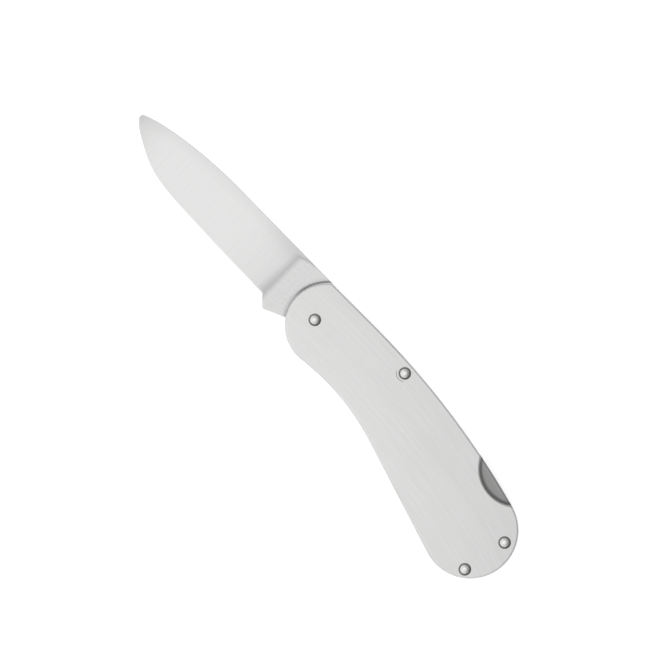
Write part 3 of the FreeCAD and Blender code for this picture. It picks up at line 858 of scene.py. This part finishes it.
def leaf_bow(lock, h):
    """Centre and radius of the spring's bow, and the angles of its free end, of the place
    where it leaves the spacer and of its held end."""
    back = handle_centres(h)[0]
    x = h.spacer_radius - lock.leaf_lead
    up = spot(PIVOT, 1, bearing(back, (x, on_back(h, x))))
    top = back + up * (h.back_radius - lock.rear_depth - lock.leaf_gap)
    root = spot(PIVOT, h.spacer_radius, lock.leaf_angle)
    chord = root - top
    radius = -(chord @ chord) / (2 * (chord @ up))
    centre = top - up * radius
    free = bearing(centre, top) + lock.leaf_overhang / radius
    leaves = bearing(centre, root)
    return centre, radius, free, leaves, leaves - lock.leaf_hold / radius


def leaf_outline(lock, h, step):
    """Leaf spring, anticlockwise: outer bow, rounded free end, inner bow, held end."""
    centre, radius, free, _, held = leaf_bow(lock, h)
    half = lock.leaf / 2
    tip = free - half / radius
    end = spot(centre, radius - half, tip)
    return looped(
        bow(centre, radius, held, tip, step),
        bow(end, half, tip, tip + math.pi, step / 4),
        bow(centre, radius - lock.leaf, tip, held, step),
    )


def spacer_outline(lock, h, step):
    """Tail spacer, anticlockwise: the part of the handle's outline outside the tip's sweep,
    then the sweep's arc with the spring's slot let into it."""
    loop = handle_outline(h, step)[0]
    far = np.hypot(*loop.T) > h.spacer_radius
    first = np.flatnonzero(far & ~np.roll(far, 1))[0]
    rim = np.roll(loop, -first, 0)[: far.sum()]
    centre, radius, _, _, held = leaf_bow(lock, h)
    outer, inner = radius + lock.slot_gap, radius - lock.leaf - lock.slot_gap
    held = held - lock.slot_gap / radius
    upper, lower = (meet(PIVOT, h.spacer_radius, centre, wall, 1) for wall in (outer, inner))
    top, foot = bearing(PIVOT, rim[-1]), bearing(PIVOT, rim[0])
    return looped(
        rim,
        bow(PIVOT, h.spacer_radius, top, bearing(PIVOT, upper), step),
        bow(centre, outer, bearing(centre, upper), held, step),
        bow(centre, inner, held, bearing(centre, lower), step),
        bow(PIVOT, h.spacer_radius, bearing(PIVOT, lower), foot, step),
    )


class Value:
    """A number that runs through a node tree. Arithmetic on it adds the nodes that do it."""

    def __init__(self, tree, socket):
        self.tree = tree
        self.socket = socket

    def by(self, operation, *others):
        """This number under one of the Math node's operations."""
        return self.tree.maths(operation, self, *others)

    def __add__(self, other):
        return self.by("ADD", other)

    __radd__ = __add__

    def __sub__(self, other):
        return self.by("SUBTRACT", other)

    def __rsub__(self, other):
        return self.tree.maths("SUBTRACT", other, self)

    def __mul__(self, other):
        return self.by("MULTIPLY", other)

    __rmul__ = __mul__

    def __truediv__(self, other):
        return self.by("DIVIDE", other)

    def __rtruediv__(self, other):
        return self.tree.maths("DIVIDE", other, self)

    def __pow__(self, other):
        return self.by("POWER", other)

    def __rpow__(self, other):
        return self.tree.maths("POWER", other, self)

    def __abs__(self):
        return self.by("ABSOLUTE")

    def above(self, least):
        """This number, or the least one allowed."""
        return self.by("MAXIMUM", least)

    def rise(self, start, end):
        """Smooth step from 0 at start to 1 at end, which may lie below the start."""
        settings = {"interpolation_type": "SMOOTHSTEP"}
        sockets = {"Value": self, "From Min": start, "From Max": end}
        return self.tree.node("ShaderNodeMapRange", settings, sockets)


class Tree:
    """Node tree of a finish or of the surroundings."""

    def __init__(self, owner):
        owner.use_nodes = True
        self.owner = owner
        self.nodes = owner.node_tree.nodes
        self.links = owner.node_tree.links
        self.nodes.clear()

    def node(self, kind, settings=None, sockets=None, out=0):
        """Adds a node: sets its settings first, then its sockets' values or links. Returns
        one of its outputs."""
        made = self.nodes.new(kind)
        for name, value in (settings or {}).items():
            setattr(made, name, value)
        for name, value in (sockets or {}).items():
            if isinstance(value, Value):
                self.links.new(value.socket, made.inputs[name])
            else:
                made.inputs[name].default_value = value
        return Value(self, made.outputs[out]) if len(made.outputs) else made

    def maths(self, operation, *numbers):
        """One operation of the Math node."""
        return self.node("ShaderNodeMath", {"operation": operation}, dict(enumerate(numbers)))

    def parts(self, vector):
        """The three parts of a vector."""
        return [self.node("ShaderNodeSeparateXYZ", None, {0: vector}, out=i) for i in range(3)]

    def place(self):
        """The three Object coordinates of a point, in metres."""
        return self.parts(self.node("ShaderNodeTexCoord", out=OBJECT_OUT))

    def mark(self):
        """What the mesh says of a point: how far it is an edge, a grind or a ring."""
        return self.node("ShaderNodeAttribute", {"attribute_name": MARK}, out=FACTOR_OUT)

    def grain(self, x, y, z, detail=2.0, roughness=0.5):
        """Noise between 0 and 1 whose grains are one unit of each coordinate wide."""
        vector = self.node("ShaderNodeCombineXYZ", None, {0: x, 1: y, 2: z})
        sockets = {"Vector": vector, "Scale": 1.0, "Detail": detail, "Roughness": roughness}
        return self.node("ShaderNodeTexNoise", None, sockets)

    def cloud(self, place, fineness, detail=4.0, roughness=0.6):
        """Noise with grains of one width every way, so many to the metre."""
        return self.grain(*(part * fineness for part in place), detail, roughness)

    def grey(self, tone):
        """Colour with a number for all its parts."""
        return self.node("ShaderNodeCombineColor", None, {0: tone, 1: tone, 2: tone})

    def tinted(self, colour, tone):
        """Colour made lighter or darker by a number."""
        settings = {"data_type": "RGBA", "blend_type": "MULTIPLY"}
        sockets = {0: 1.0, 6: (*colour, 1), 7: self.grey(tone)}
        return self.node("ShaderNodeMix", settings, sockets, out=COLOUR_OUT)

    def mixed(self, share, first, second):
        """Colour between two others."""
        first, second = (c if isinstance(c, Value) else (*c, 1) for c in (first, second))
        sockets = {0: share, 6: first, 7: second}
        return self.node("ShaderNodeMix", {"data_type": "RGBA"}, sockets, out=COLOUR_OUT)

    def surface(self, colour, roughness, height, depth, metallic=1.0, constants=None):
        """Principled surface with a bump of the given depth."""
        sockets = {"Strength": 1.0, "Distance": depth, "Height": height}
        bump = self.node("ShaderNodeBump", None, sockets)
        sockets = {
            "Base Color": colour, "Roughness": roughness, "Normal": bump, "Metallic": metallic
        }
        shader = self.node("ShaderNodeBsdfPrincipled", None, sockets | (constants or {}))
        self.node("ShaderNodeOutputMaterial", None, {"Surface": shader})
        return self.owner


def finish(name):
    """Empty node tree of a new material."""
    return Tree(bpy.data.materials.new(name))


def ring_distance(x, y, centre):
    """Distance of a point from an upright axis."""
    across = (x - float(centre[0])) ** 2 + (y - float(centre[1])) ** 2
    return across.by("SQRT")


def toward(x, y, centre, way):
    """How far a point lies from an upright axis in one direction."""
    return (x - float(centre[0])) * way[0] + (y - float(centre[1])) * way[1]


def laid_straight(x, y, h):
    """Height of a point above the pivot, with the back's long curve laid straight."""
    return y + (x - h.back_straight).above(0) ** 2 / (2 * h.back_radius)


def shadow_side(x, y, places):
    """Share of the way across a rivet, from its side towards the light, 0, to its side away from
    the light, 1, where painted shade falls."""
    shadow_share = 0.0
    for centre in places.values():
        near = ring_distance(x, y, centre).rise(SHADE_REACH, SHADE_REACH - 0.2 * MM)
        shadow_share = near * toward(x, y, centre, SHADOW_WAY).rise(-SHADE_HALF, SHADE_HALF) + shadow_share
    return shadow_share


def brushed_plate(colours, h, r, places, notch):
    """Steel brushed along the curve of the back, with worn rims, painted shadow in the rivet
    seats, painted shade on the lip of the thumb notch, painted light that pales the plates towards
    the belly, and the faint ring that setting the lock bar's rivet left.
    Here and in the other finishes grains are so many to the metre along each axis."""
    tree = finish("brushed_plate")
    x, y, z = place = tree.place()
    across = laid_straight(x, y, h)
    fine = tree.grain(x * 90, across * 5200, z * 2500)
    streak = tree.grain(x * 30, across * 1500, z * 600)
    band = tree.grain(x * 12, across * 260, 0.5)
    hand = tree.cloud(place, 70)
    wear = tree.mark().rise(0.1, 0.9) * colours.wear
    # Painted light: paler towards the belly, the side the light comes from, and towards the front
    # end, and darker at the butt
    painted_light = across.rise(8 * MM, -12 * MM) * 0.05
    painted_light = painted_light + x.rise(78 * MM, 5 * MM) * 0.06 - x.rise(62 * MM, 82 * MM) * 0.03
    # Ring of the setting tool, on the belly's side of the lock bar's rivet alone
    lock = places["lock_bar_rivet"]
    witness = abs(ring_distance(x, y, lock) - WITNESS_RADIUS).rise(0.2 * MM, 0.06 * MM)
    witness = witness * toward(x, y, lock, WITNESS_WAY).rise(1.2 * MM, 1.8 * MM)
    # Painted shade along the lip of the thumb notch
    lip = (ring_distance(x, y, notch[0]) - h.notch_radius).rise(0.55 * MM, 0.3 * MM)
    tone = fine * 0.28 + streak * 0.18 + band * 0.06 + hand * 0.05 + wear * 0.04 + painted_light + 0.68
    tone = tone - witness * 0.4 - lip * 0.4
    # Painted shadow in the rivet seats, deepest on the side away from the light; the seats are
    # also rougher
    seat = 0.0
    for centre in places.values():
        wall = ring_distance(x, y, centre) - r.seat_radius
        seat = wall.rise(0.11 * MM, -0.01 * MM) + seat
    seat_shadow = seat * (shadow_side(x, y, places) * 0.32 + 0.42)
    colour = tree.mixed(seat_shadow, tree.tinted(colours.plate, tone), tuple(colours.seat_shade))
    rough = fine * 0.14 + streak * 0.12 + hand * 0.1 - wear * 0.16 + seat * 0.2 + 0.24
    return tree.surface(colour, rough, fine * 0.7 + streak * 0.5, 0.004 * MM)


def satin_blade(colours, h, back):
    """Steel with satin strokes across the ground faces, painted shade along the plunge and towards
    the back and the tip, a duller ricasso with strokes along it, painted shadow and a dark
    line of painted shade where the plates meet it, and a finer bevel at the cutting edge."""
    tree = finish("satin_blade")
    x, y, z = place = tree.place()
    mark = tree.mark()
    ground = mark.rise(0.1, 0.9)
    dull_or_shaded = 1 - ground
    bevel = mark.rise(1.2, 1.8)
    stroke = tree.grain(x * 7000, y * 110, z * 900)
    coarse = tree.grain(x * 1500, y * 60, z * 300)
    lengthwise = tree.grain(x * 120, y * 6000, z * 900)
    cloud = tree.cloud(place, 90)
    mottle = tree.cloud(place, 1900, 3.0, 0.7) * dull_or_shaded
    grain = lengthwise + (stroke - lengthwise) * ground
    # Depth below the back, whose line is taken as a cubic
    line, *factors = np.polyfit(*back.T, 3).tolist()
    for factor in factors:
        line = x * line + factor
    under = line - y
    # Painted shade along the plunge, strongest at the heel and lost at the back; the plunge is
    # rougher as well
    plunge = mark.rise(0.0, 0.4) * (1 - mark.rise(0.3, 1.0)) * (y.rise(-3 * MM, -9 * MM) * 0.7 + 1)
    plunge = plunge * (under.rise(0.3 * MM, 1.4 * MM) * 0.9 + 0.1)
    # Painted shade: ground faces darken towards the back, the tip and the plunge, and the ricasso
    # under the back
    dim = under.rise(4 * MM, 0.0) * 0.05 + x.rise(-60 * MM, -72 * MM) * 0.11
    dim = dim + x.rise(-34 * MM, -16 * MM) * 0.05 + x.rise(-21 * MM, -16 * MM) * 0.04
    dim = dim + x.rise(-30 * MM, -18 * MM) * under.rise(7 * MM, 1 * MM) * 0.06
    shaded = under.rise(1.6 * MM, 0.3 * MM) * x.rise(-6 * MM, -14 * MM) * dull_or_shaded
    # Painted shadow of the plates' front end on the ricasso, and a dark line of painted shade
    # where they meet it
    meeting = ring_distance(x, y, (h.front_set_back, h.front_rise)) - h.front_radius
    plate_shadow = meeting.rise(1.5 * MM, 0.0) * meeting.rise(-1.5 * MM, 0.0) * dull_or_shaded
    plate_shadow = plate_shadow * (y.rise(9 * MM, -2 * MM) * 0.6 + 0.4) * (cloud * 0.8 + 0.6)
    seam_shade = meeting.rise(0.75 * MM, 0.5 * MM) * y.rise(-1 * MM, 4 * MM) * dull_or_shaded
    tone = grain * 0.2 + coarse * ground * 0.04 + cloud * 0.06 + mottle * 0.3 + ground * 0.17
    tone = tone + bevel * 0.06 - plunge * 0.12 - plate_shadow * 0.25 - seam_shade * 0.4 + 0.63
    tone = tone - dim * ground - shaded * 0.15
    rough = grain * 0.14 + coarse * 0.08 + cloud * 0.08 + plunge * 0.12 + 0.3
    rough = rough - ground * 0.06 - bevel * 0.06
    height = grain * 0.7 + coarse * 0.4
    return tree.surface(tree.tinted(colours.blade, tone), rough, height, 0.004 * MM)


def ground_bar(colours, h, notch):
    """Steel left as the grinder made it, along the back, polished a little where a thumb
    presses, with painted shade along the lip of the thumb notch."""
    tree = finish("ground_bar")
    x, y, z = place = tree.place()
    across = laid_straight(x, y, h)
    fine = tree.grain(x * 200, across * 5000, z * 5000)
    streak = tree.grain(x * 60, across * 1300, z * 1300)
    cloud = tree.cloud(place, 160)
    press = (x.rise(54 * MM, 60 * MM) - x.rise(66 * MM, 71 * MM)) * colours.wear
    press = press * across.rise(8.6 * MM, 10 * MM)
    # Painted shade in the thumb notch, along its wall
    lip = (ring_distance(x, y, notch[0]) - h.notch_radius).rise(-1.0 * MM, -0.6 * MM)
    tone = fine * 0.2 + streak * 0.16 + cloud * 0.2 + press * 0.2 - lip * 0.45 + 0.72
    rough = fine * 0.14 + streak * 0.12 + cloud * 0.12 - press * 0.16 + 0.26
    height = fine * 0.6 + streak * 0.6
    return tree.surface(tree.tinted(colours.bar, tone), rough, height, 0.005 * MM)


def polished_rivet(colours, r, places):
    """Steel turned and polished, with fine rings and small dents from setting, and painted shade:
    a darker, rougher foot that reaches further up on the side away from the light, and a darker
    half of the dome on that side. The mark is the distance from the axis."""
    tree = finish("polished_rivet")
    x, y, z = place = tree.place()
    radius = tree.mark()
    ring = tree.grain(radius * 14000, z * 3000, 0.3, 1.0)
    dent = tree.cloud(place, 1500, 3.0, 0.55)
    scratch = tree.grain(x * 900, y * 7000, z * 900)
    shadow_share = shadow_side(x, y, places)
    # Painted shade: each head's foot is darker, further up on the side away from the light; it is
    # rougher too
    foot = radius.rise(r.head - 0.25 * MM, r.head) * (shadow_share * 0.9 + 0.1)
    # Painted shadow on the half of each dome away from the light
    dull_or_shaded = shadow_share.rise(0.42, 0.56) * 0.16 + shadow_share.rise(0.74, 0.9) * 0.25
    tone = ring * 0.06 + dent * 0.12 - foot * 0.3 - dull_or_shaded + 0.98
    rough = ring * 0.06 + dent * 0.16 + scratch * 0.1 + foot * 0.15 + 0.1
    height = ring * 0.15 + dent * 0.7 + scratch * 0.2
    return tree.surface(tree.tinted(colours.rivet, tone), rough, height, 0.02 * MM)


def tempered_spring(colours):
    """Spring steel with the blue and straw of tempering running along it."""
    tree = finish("tempered_spring")
    x, y, z = place = tree.place()
    fine = tree.grain(x * 300, y * 5000, z * 5000)
    cloud = tree.cloud(place, 220)
    heat = (x * 60 + cloud * 1.4).by("FRACT").rise(0.1, 0.9)
    colour = tree.mixed(heat, tuple(colours.spring), tuple(colours.straw))
    rough = fine * 0.16 + cloud * 0.2 + 0.22
    return tree.surface(colour, rough, fine, 0.004 * MM)


def worn_bronze(colours):
    """Bronze with turned rings round the pivot and darker rubbed patches."""
    tree = finish("worn_bronze")
    x, y, z = place = tree.place()
    ring = tree.grain(ring_distance(x, y, PIVOT) * 9000, z * 4000, 0.2)
    cloud = tree.cloud(place, 500)
    tone = ring * 0.3 + cloud * 0.35 + 0.65
    rough = ring * 0.2 + cloud * 0.2 + 0.2
    return tree.surface(tree.tinted(colours.bronze, tone), rough, ring, 0.006 * MM)


def pale_floor(stage):
    """Matt pale sheet, lit a little from below, with a very faint mottle."""
    tree = finish("pale_floor")
    x, y, _ = tree.place()
    mottle = tree.grain(x * 40, y * 40, 0.0, 5.0, 0.6)
    grit = tree.grain(x * 2500, y * 2500, 0.0)
    tone = mottle * 0.015 + grit * 0.01 + 0.985
    rough = mottle * 0.1 + 0.7
    glow = {"Emission Color": (1, 1, 1, 1), "Emission Strength": stage.glow}
    return tree.surface(tree.tinted(stage.floor, tone), rough, grit, 0.01 * MM, 0.0, glow)


def studio(stage):
    """Surroundings that are brighter on the cutting edge's side and brightest overhead."""
    tree = Tree(bpy.data.worlds.new("studio"))
    x, y, up = tree.parts(tree.node("ShaderNodeTexCoord"))
    across = x * BACK_WAY[0] + y * BACK_WAY[1]
    side = stage.bright_side - across.rise(-0.4, 0.6) * (stage.bright_side - stage.dim_side)
    bright = side + (stage.zenith - side) * up.rise(0.84, 0.98)
    sockets = {"Color": tree.grey(bright), "Strength": 1.0}
    glow = tree.node("ShaderNodeBackground", None, sockets)
    tree.node("ShaderNodeOutputWorld", None, {"Surface": glow})
    return tree.owner


class KNIFE_OT_plates(bpy.types.Operator):
    """Makes the two brushed handle plates with rounded rims, rivet seats and thumb notch"""

    bl_idname = "knife.make_plates"
    bl_label = "Handle plates"

    def execute(self, context):
        scene = context.scene
        h, r, lock = scene.knife_handle, scene.knife_rivets, scene.knife_lock
        places = rivet_places(h, r)
        notch = notch_circle(h, lock)
        material = brushed_plate(scene.knife_finishes, h, r, places, notch)
        loop, notched = handle_outline(h, PLATE_STEP, notch)
        steps = inward(loop, np.where(notched, h.notch_ease / h.rim_radius, 1.0))
        rim = np.sin(np.linspace(0, math.pi, RIM_STEPS + 3)[1:]) ** 0.5
        for name, inner, outer in (("front_plate", *FRONT), ("rear_plate", *REAR[::-1])):
            profile = rounded(h.inner_ease, inner, outer, h.rim_radius, RIM_STEPS)
            marks = np.append(np.zeros(len(profile) - len(rim)), rim)
            holes = [(centre, rivet_seat(r, inner, outer)) for centre in places.values()]
            shell = Shell().stamp(loop, steps, profile, holes, marks)
            shell.piece("brushed_" + name, "handle", "plate_steel", name, material)
        return {"FINISHED"}


class KNIFE_OT_rivets(bpy.types.Operator):
    """Makes the four rivets with polished domes"""

    bl_idname = "knife.make_rivets"
    bl_label = "Rivets"

    def execute(self, context):
        scene = context.scene
        h, r = scene.knife_handle, scene.knife_rivets
        places = rivet_places(h, r)
        material = polished_rivet(scene.knife_finishes, r, places)
        profile = rivet_profile(r)
        for name, centre in places.items():
            shell = Shell()
            shell.grid(turned(centre, profile, RIVET_SIDES), wrap=True, marks=profile[:, 0])
            shell.piece("polished_" + name, "handle", "rivet_steel", name, material)
        return {"FINISHED"}


class KNIFE_OT_blade(bpy.types.Operator):
    """Makes the blade with its grind, plunge line, bevel, ricasso, kick and tang"""

    bl_idname = "knife.make_blade"
    bl_label = "Blade"

    def execute(self, context):
        scene = context.scene
        b, h = scene.knife_blade, scene.knife_handle
        shell = Shell()
        points, marks = blade_grid(b, h)
        rows = shell.grid(points, ring=True, marks=marks)
        shell.faces.append(rows[0].tolist())
        loop, depth = tang_outline(b, h, TANG_STEP)
        profile = rounded(b.tang_ease, *STOCK, steps=5)
        bore = rounded(b.tang_ease, *STOCK, steps=4) + [b.bore, 0]
        shell.stamp(loop, inward(loop, depth), profile, [(PIVOT, bore)])
        material = satin_blade(scene.knife_finishes, h, blade_lines(b, h)[1])
        shell.piece("satin_blade", "blade", "blade_steel", "blade", material)
        return {"FINISHED"}


class KNIFE_OT_lock_bar(bpy.types.Operator):
    """Makes the rocker lock bar and the tail spacer of ground steel"""

    bl_idname = "knife.make_lock_bar"
    bl_label = "Lock bar and spacer"

    def execute(self, context):
        scene = context.scene
        h, r, lock = scene.knife_handle, scene.knife_rivets, scene.knife_lock
        places = rivet_places(h, r)
        material = ground_bar(scene.knife_finishes, h, notch_circle(h, lock))
        rivet = places["lock_bar_rivet"]
        loop = bar_outline(lock, h, rivet, PLATE_STEP)
        steps = inward(loop, bar_easing(loop, lock, h))
        bore = rounded(lock.bore_ease, *BAR, steps=3) + [lock.bore, 0]
        shell = Shell().stamp(loop, steps, rounded(lock.back_ease, *BAR), [(rivet, bore)])
        shell.piece("ground_lock_bar", "lock_bar", "bar_steel", "lock_bar", material)
        gap = REAR[1], FRONT[0]
        loop = spacer_outline(lock, h, PLATE_STEP)
        bore = rounded(h.spacer_bore_ease, *gap, steps=3) + [r.shank + r.clearance, 0]
        holes = [(places[name], bore) for name in ("tail_rivet_back", "tail_rivet_belly")]
        shell = Shell().stamp(loop, inward(loop), rounded(h.spacer_ease, *gap), holes)
        shell.piece("ground_tail_spacer", "handle", "bar_steel", "tail_spacer", material)
        return {"FINISHED"}


class KNIFE_OT_spring(bpy.types.Operator):
    """Makes the tempered leaf spring that lies under the lock bar"""

    bl_idname = "knife.make_spring"
    bl_label = "Leaf spring"

    def execute(self, context):
        scene = context.scene
        h, lock = scene.knife_handle, scene.knife_lock
        loop = leaf_outline(lock, h, LEAF_STEP)
        shell = Shell().stamp(loop, inward(loop), rounded(lock.leaf_ease, *BAR, steps=4))
        material = tempered_spring(scene.knife_finishes)
        made = shell.piece("tempered_leaf_spring", None, "spring_steel", "lock_spring", material)
        centre, radius, free, leaves, _ = leaf_bow(lock, h)
        start, end = (spot(centre, radius, a) for a in (leaves, free))
        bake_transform(made)
        return {"FINISHED"}


class KNIFE_OT_pivot(bpy.types.Operator):
    """Gives the pivot's bush and washers their worn bronze"""

    bl_idname = "knife.finish_pivot"
    bl_label = "Pivot bush and washers"

    def execute(self, context):
        material = worn_bronze(context.scene.knife_finishes)
        for name in ("pivot_bush", "pivot_washer_front", "pivot_washer_rear"):
            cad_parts[name].material_slots[0].material = material
        return {"FINISHED"}


class KNIFE_OT_stage(bpy.types.Operator):
    """Lays the pale floor, sets the soft lights and aims the camera"""

    bl_idname = "knife.set_stage"
    bl_label = "Floor, lights and camera"

    def execute(self, context):
        scene = context.scene
        stage = scene.knife_stage
        self.lay_floor(scene, stage)
        scene.world = studio(stage)
        self.set_key_light(scene, stage)
        self.aim_camera(scene, stage)
        scene.view_settings.view_transform = "Standard"
        return {"FINISHED"}

    def lay_floor(self, scene, stage):
        """Flat sheet at the height of the knife's lowest point."""
        side = np.linspace(-stage.floor_reach, stage.floor_reach, FLOOR_LINES)
        x, y = np.meshgrid(side, side, indexing="ij")
        shell = Shell()
        shell.grid(np.stack([x, y, np.full_like(x, CAD_BOX[0][2])], -1))
        mesh = bpy.data.meshes.new("floor")
        mesh.from_pydata(shell.points[0].tolist(), [], shell.faces)
        mesh.materials.append(pale_floor(stage))
        floor = bpy.data.objects.new("floor", mesh)
        scene.collection.objects.link(floor)

    def set_key_light(self, scene, stage):
        """Square soft light that faces the knife."""
        light = bpy.data.lights.new("key_light", "AREA")
        light.size = stage.key_size
        light.energy = stage.key_power
        made = bpy.data.objects.new("key_light", light)
        made.location = KEY_PLACE
        made.rotation_euler = Vector(KEY_PLACE).to_track_quat("Z", "Y").to_euler()
        made.visible_camera = False
        scene.collection.objects.link(made)

    def aim_camera(self, scene, stage):
        """Camera that looks straight down, far enough away to see the picture's width."""
        lens = bpy.data.cameras.new("camera")
        lens.lens = stage.lens
        lens.sensor_width = SENSOR
        lens.clip_start = CLIP_START
        camera = bpy.data.objects.new("camera", lens)
        height = stage.width * stage.lens / SENSOR + FRONT[1]
        camera.location = stage.centre_x, stage.centre_y, height
        camera.rotation_euler = 0, 0, stage.roll
        scene.collection.objects.link(camera)
        scene.camera = camera


class KNIFE_PT_panel(bpy.types.Panel):
    """Lists the knife's sizes and the steps that make it"""

    bl_label = "Pocket knife"
    bl_idname = "KNIFE_PT_panel"
    bl_space_type = "VIEW_3D"
    bl_region_type = "UI"
    bl_category = "Knife"

    def draw(self, context):
        for step in STEPS:
            self.layout.operator(step.bl_idname)
        for name in SIZES:
            box = self.layout.box()
            group = getattr(context.scene, name)
            for size in group.bl_rna.properties.keys():
                if size not in ("rna_type", "name"):
                    box.prop(group, size)


STEPS = (
    KNIFE_OT_plates,
    KNIFE_OT_rivets,
    KNIFE_OT_blade,
    KNIFE_OT_lock_bar,
    KNIFE_OT_spring,
    KNIFE_OT_pivot,
    KNIFE_OT_stage,
)
SIZES = {
    "knife_handle": HandleSizes,
    "knife_rivets": RivetSizes,
    "knife_blade": BladeSizes,
    "knife_lock": LockSizes,
    "knife_finishes": Finishes,
    "knife_stage": StageSizes,
}


def register():
    """Registers the sizes on the scene, the steps and the panel."""
    for name, group in SIZES.items():
        bpy.utils.register_class(group)
        setattr(bpy.types.Scene, name, bpy.props.PointerProperty(type=group))
    for made in (*STEPS, KNIFE_PT_panel):
        bpy.utils.register_class(made)


def unregister():
    """Takes away what register added."""
    for made in (KNIFE_PT_panel, *reversed(STEPS)):
        bpy.utils.unregister_class(made)
    for name, group in SIZES.items():
        delattr(bpy.types.Scene, name)
        bpy.utils.unregister_class(group)


def main():
    """Makes the knife and its stage."""
    register()
    bpy.ops.knife.make_plates()
    bpy.ops.knife.make_rivets()
    bpy.ops.knife.make_blade()
    bpy.ops.knife.make_lock_bar()
    bpy.ops.knife.make_spring()
    bpy.ops.knife.finish_pivot()
    bpy.ops.knife.set_stage()
    bpy.context.view_layer.update()


if __name__ == "__main__":
    main()
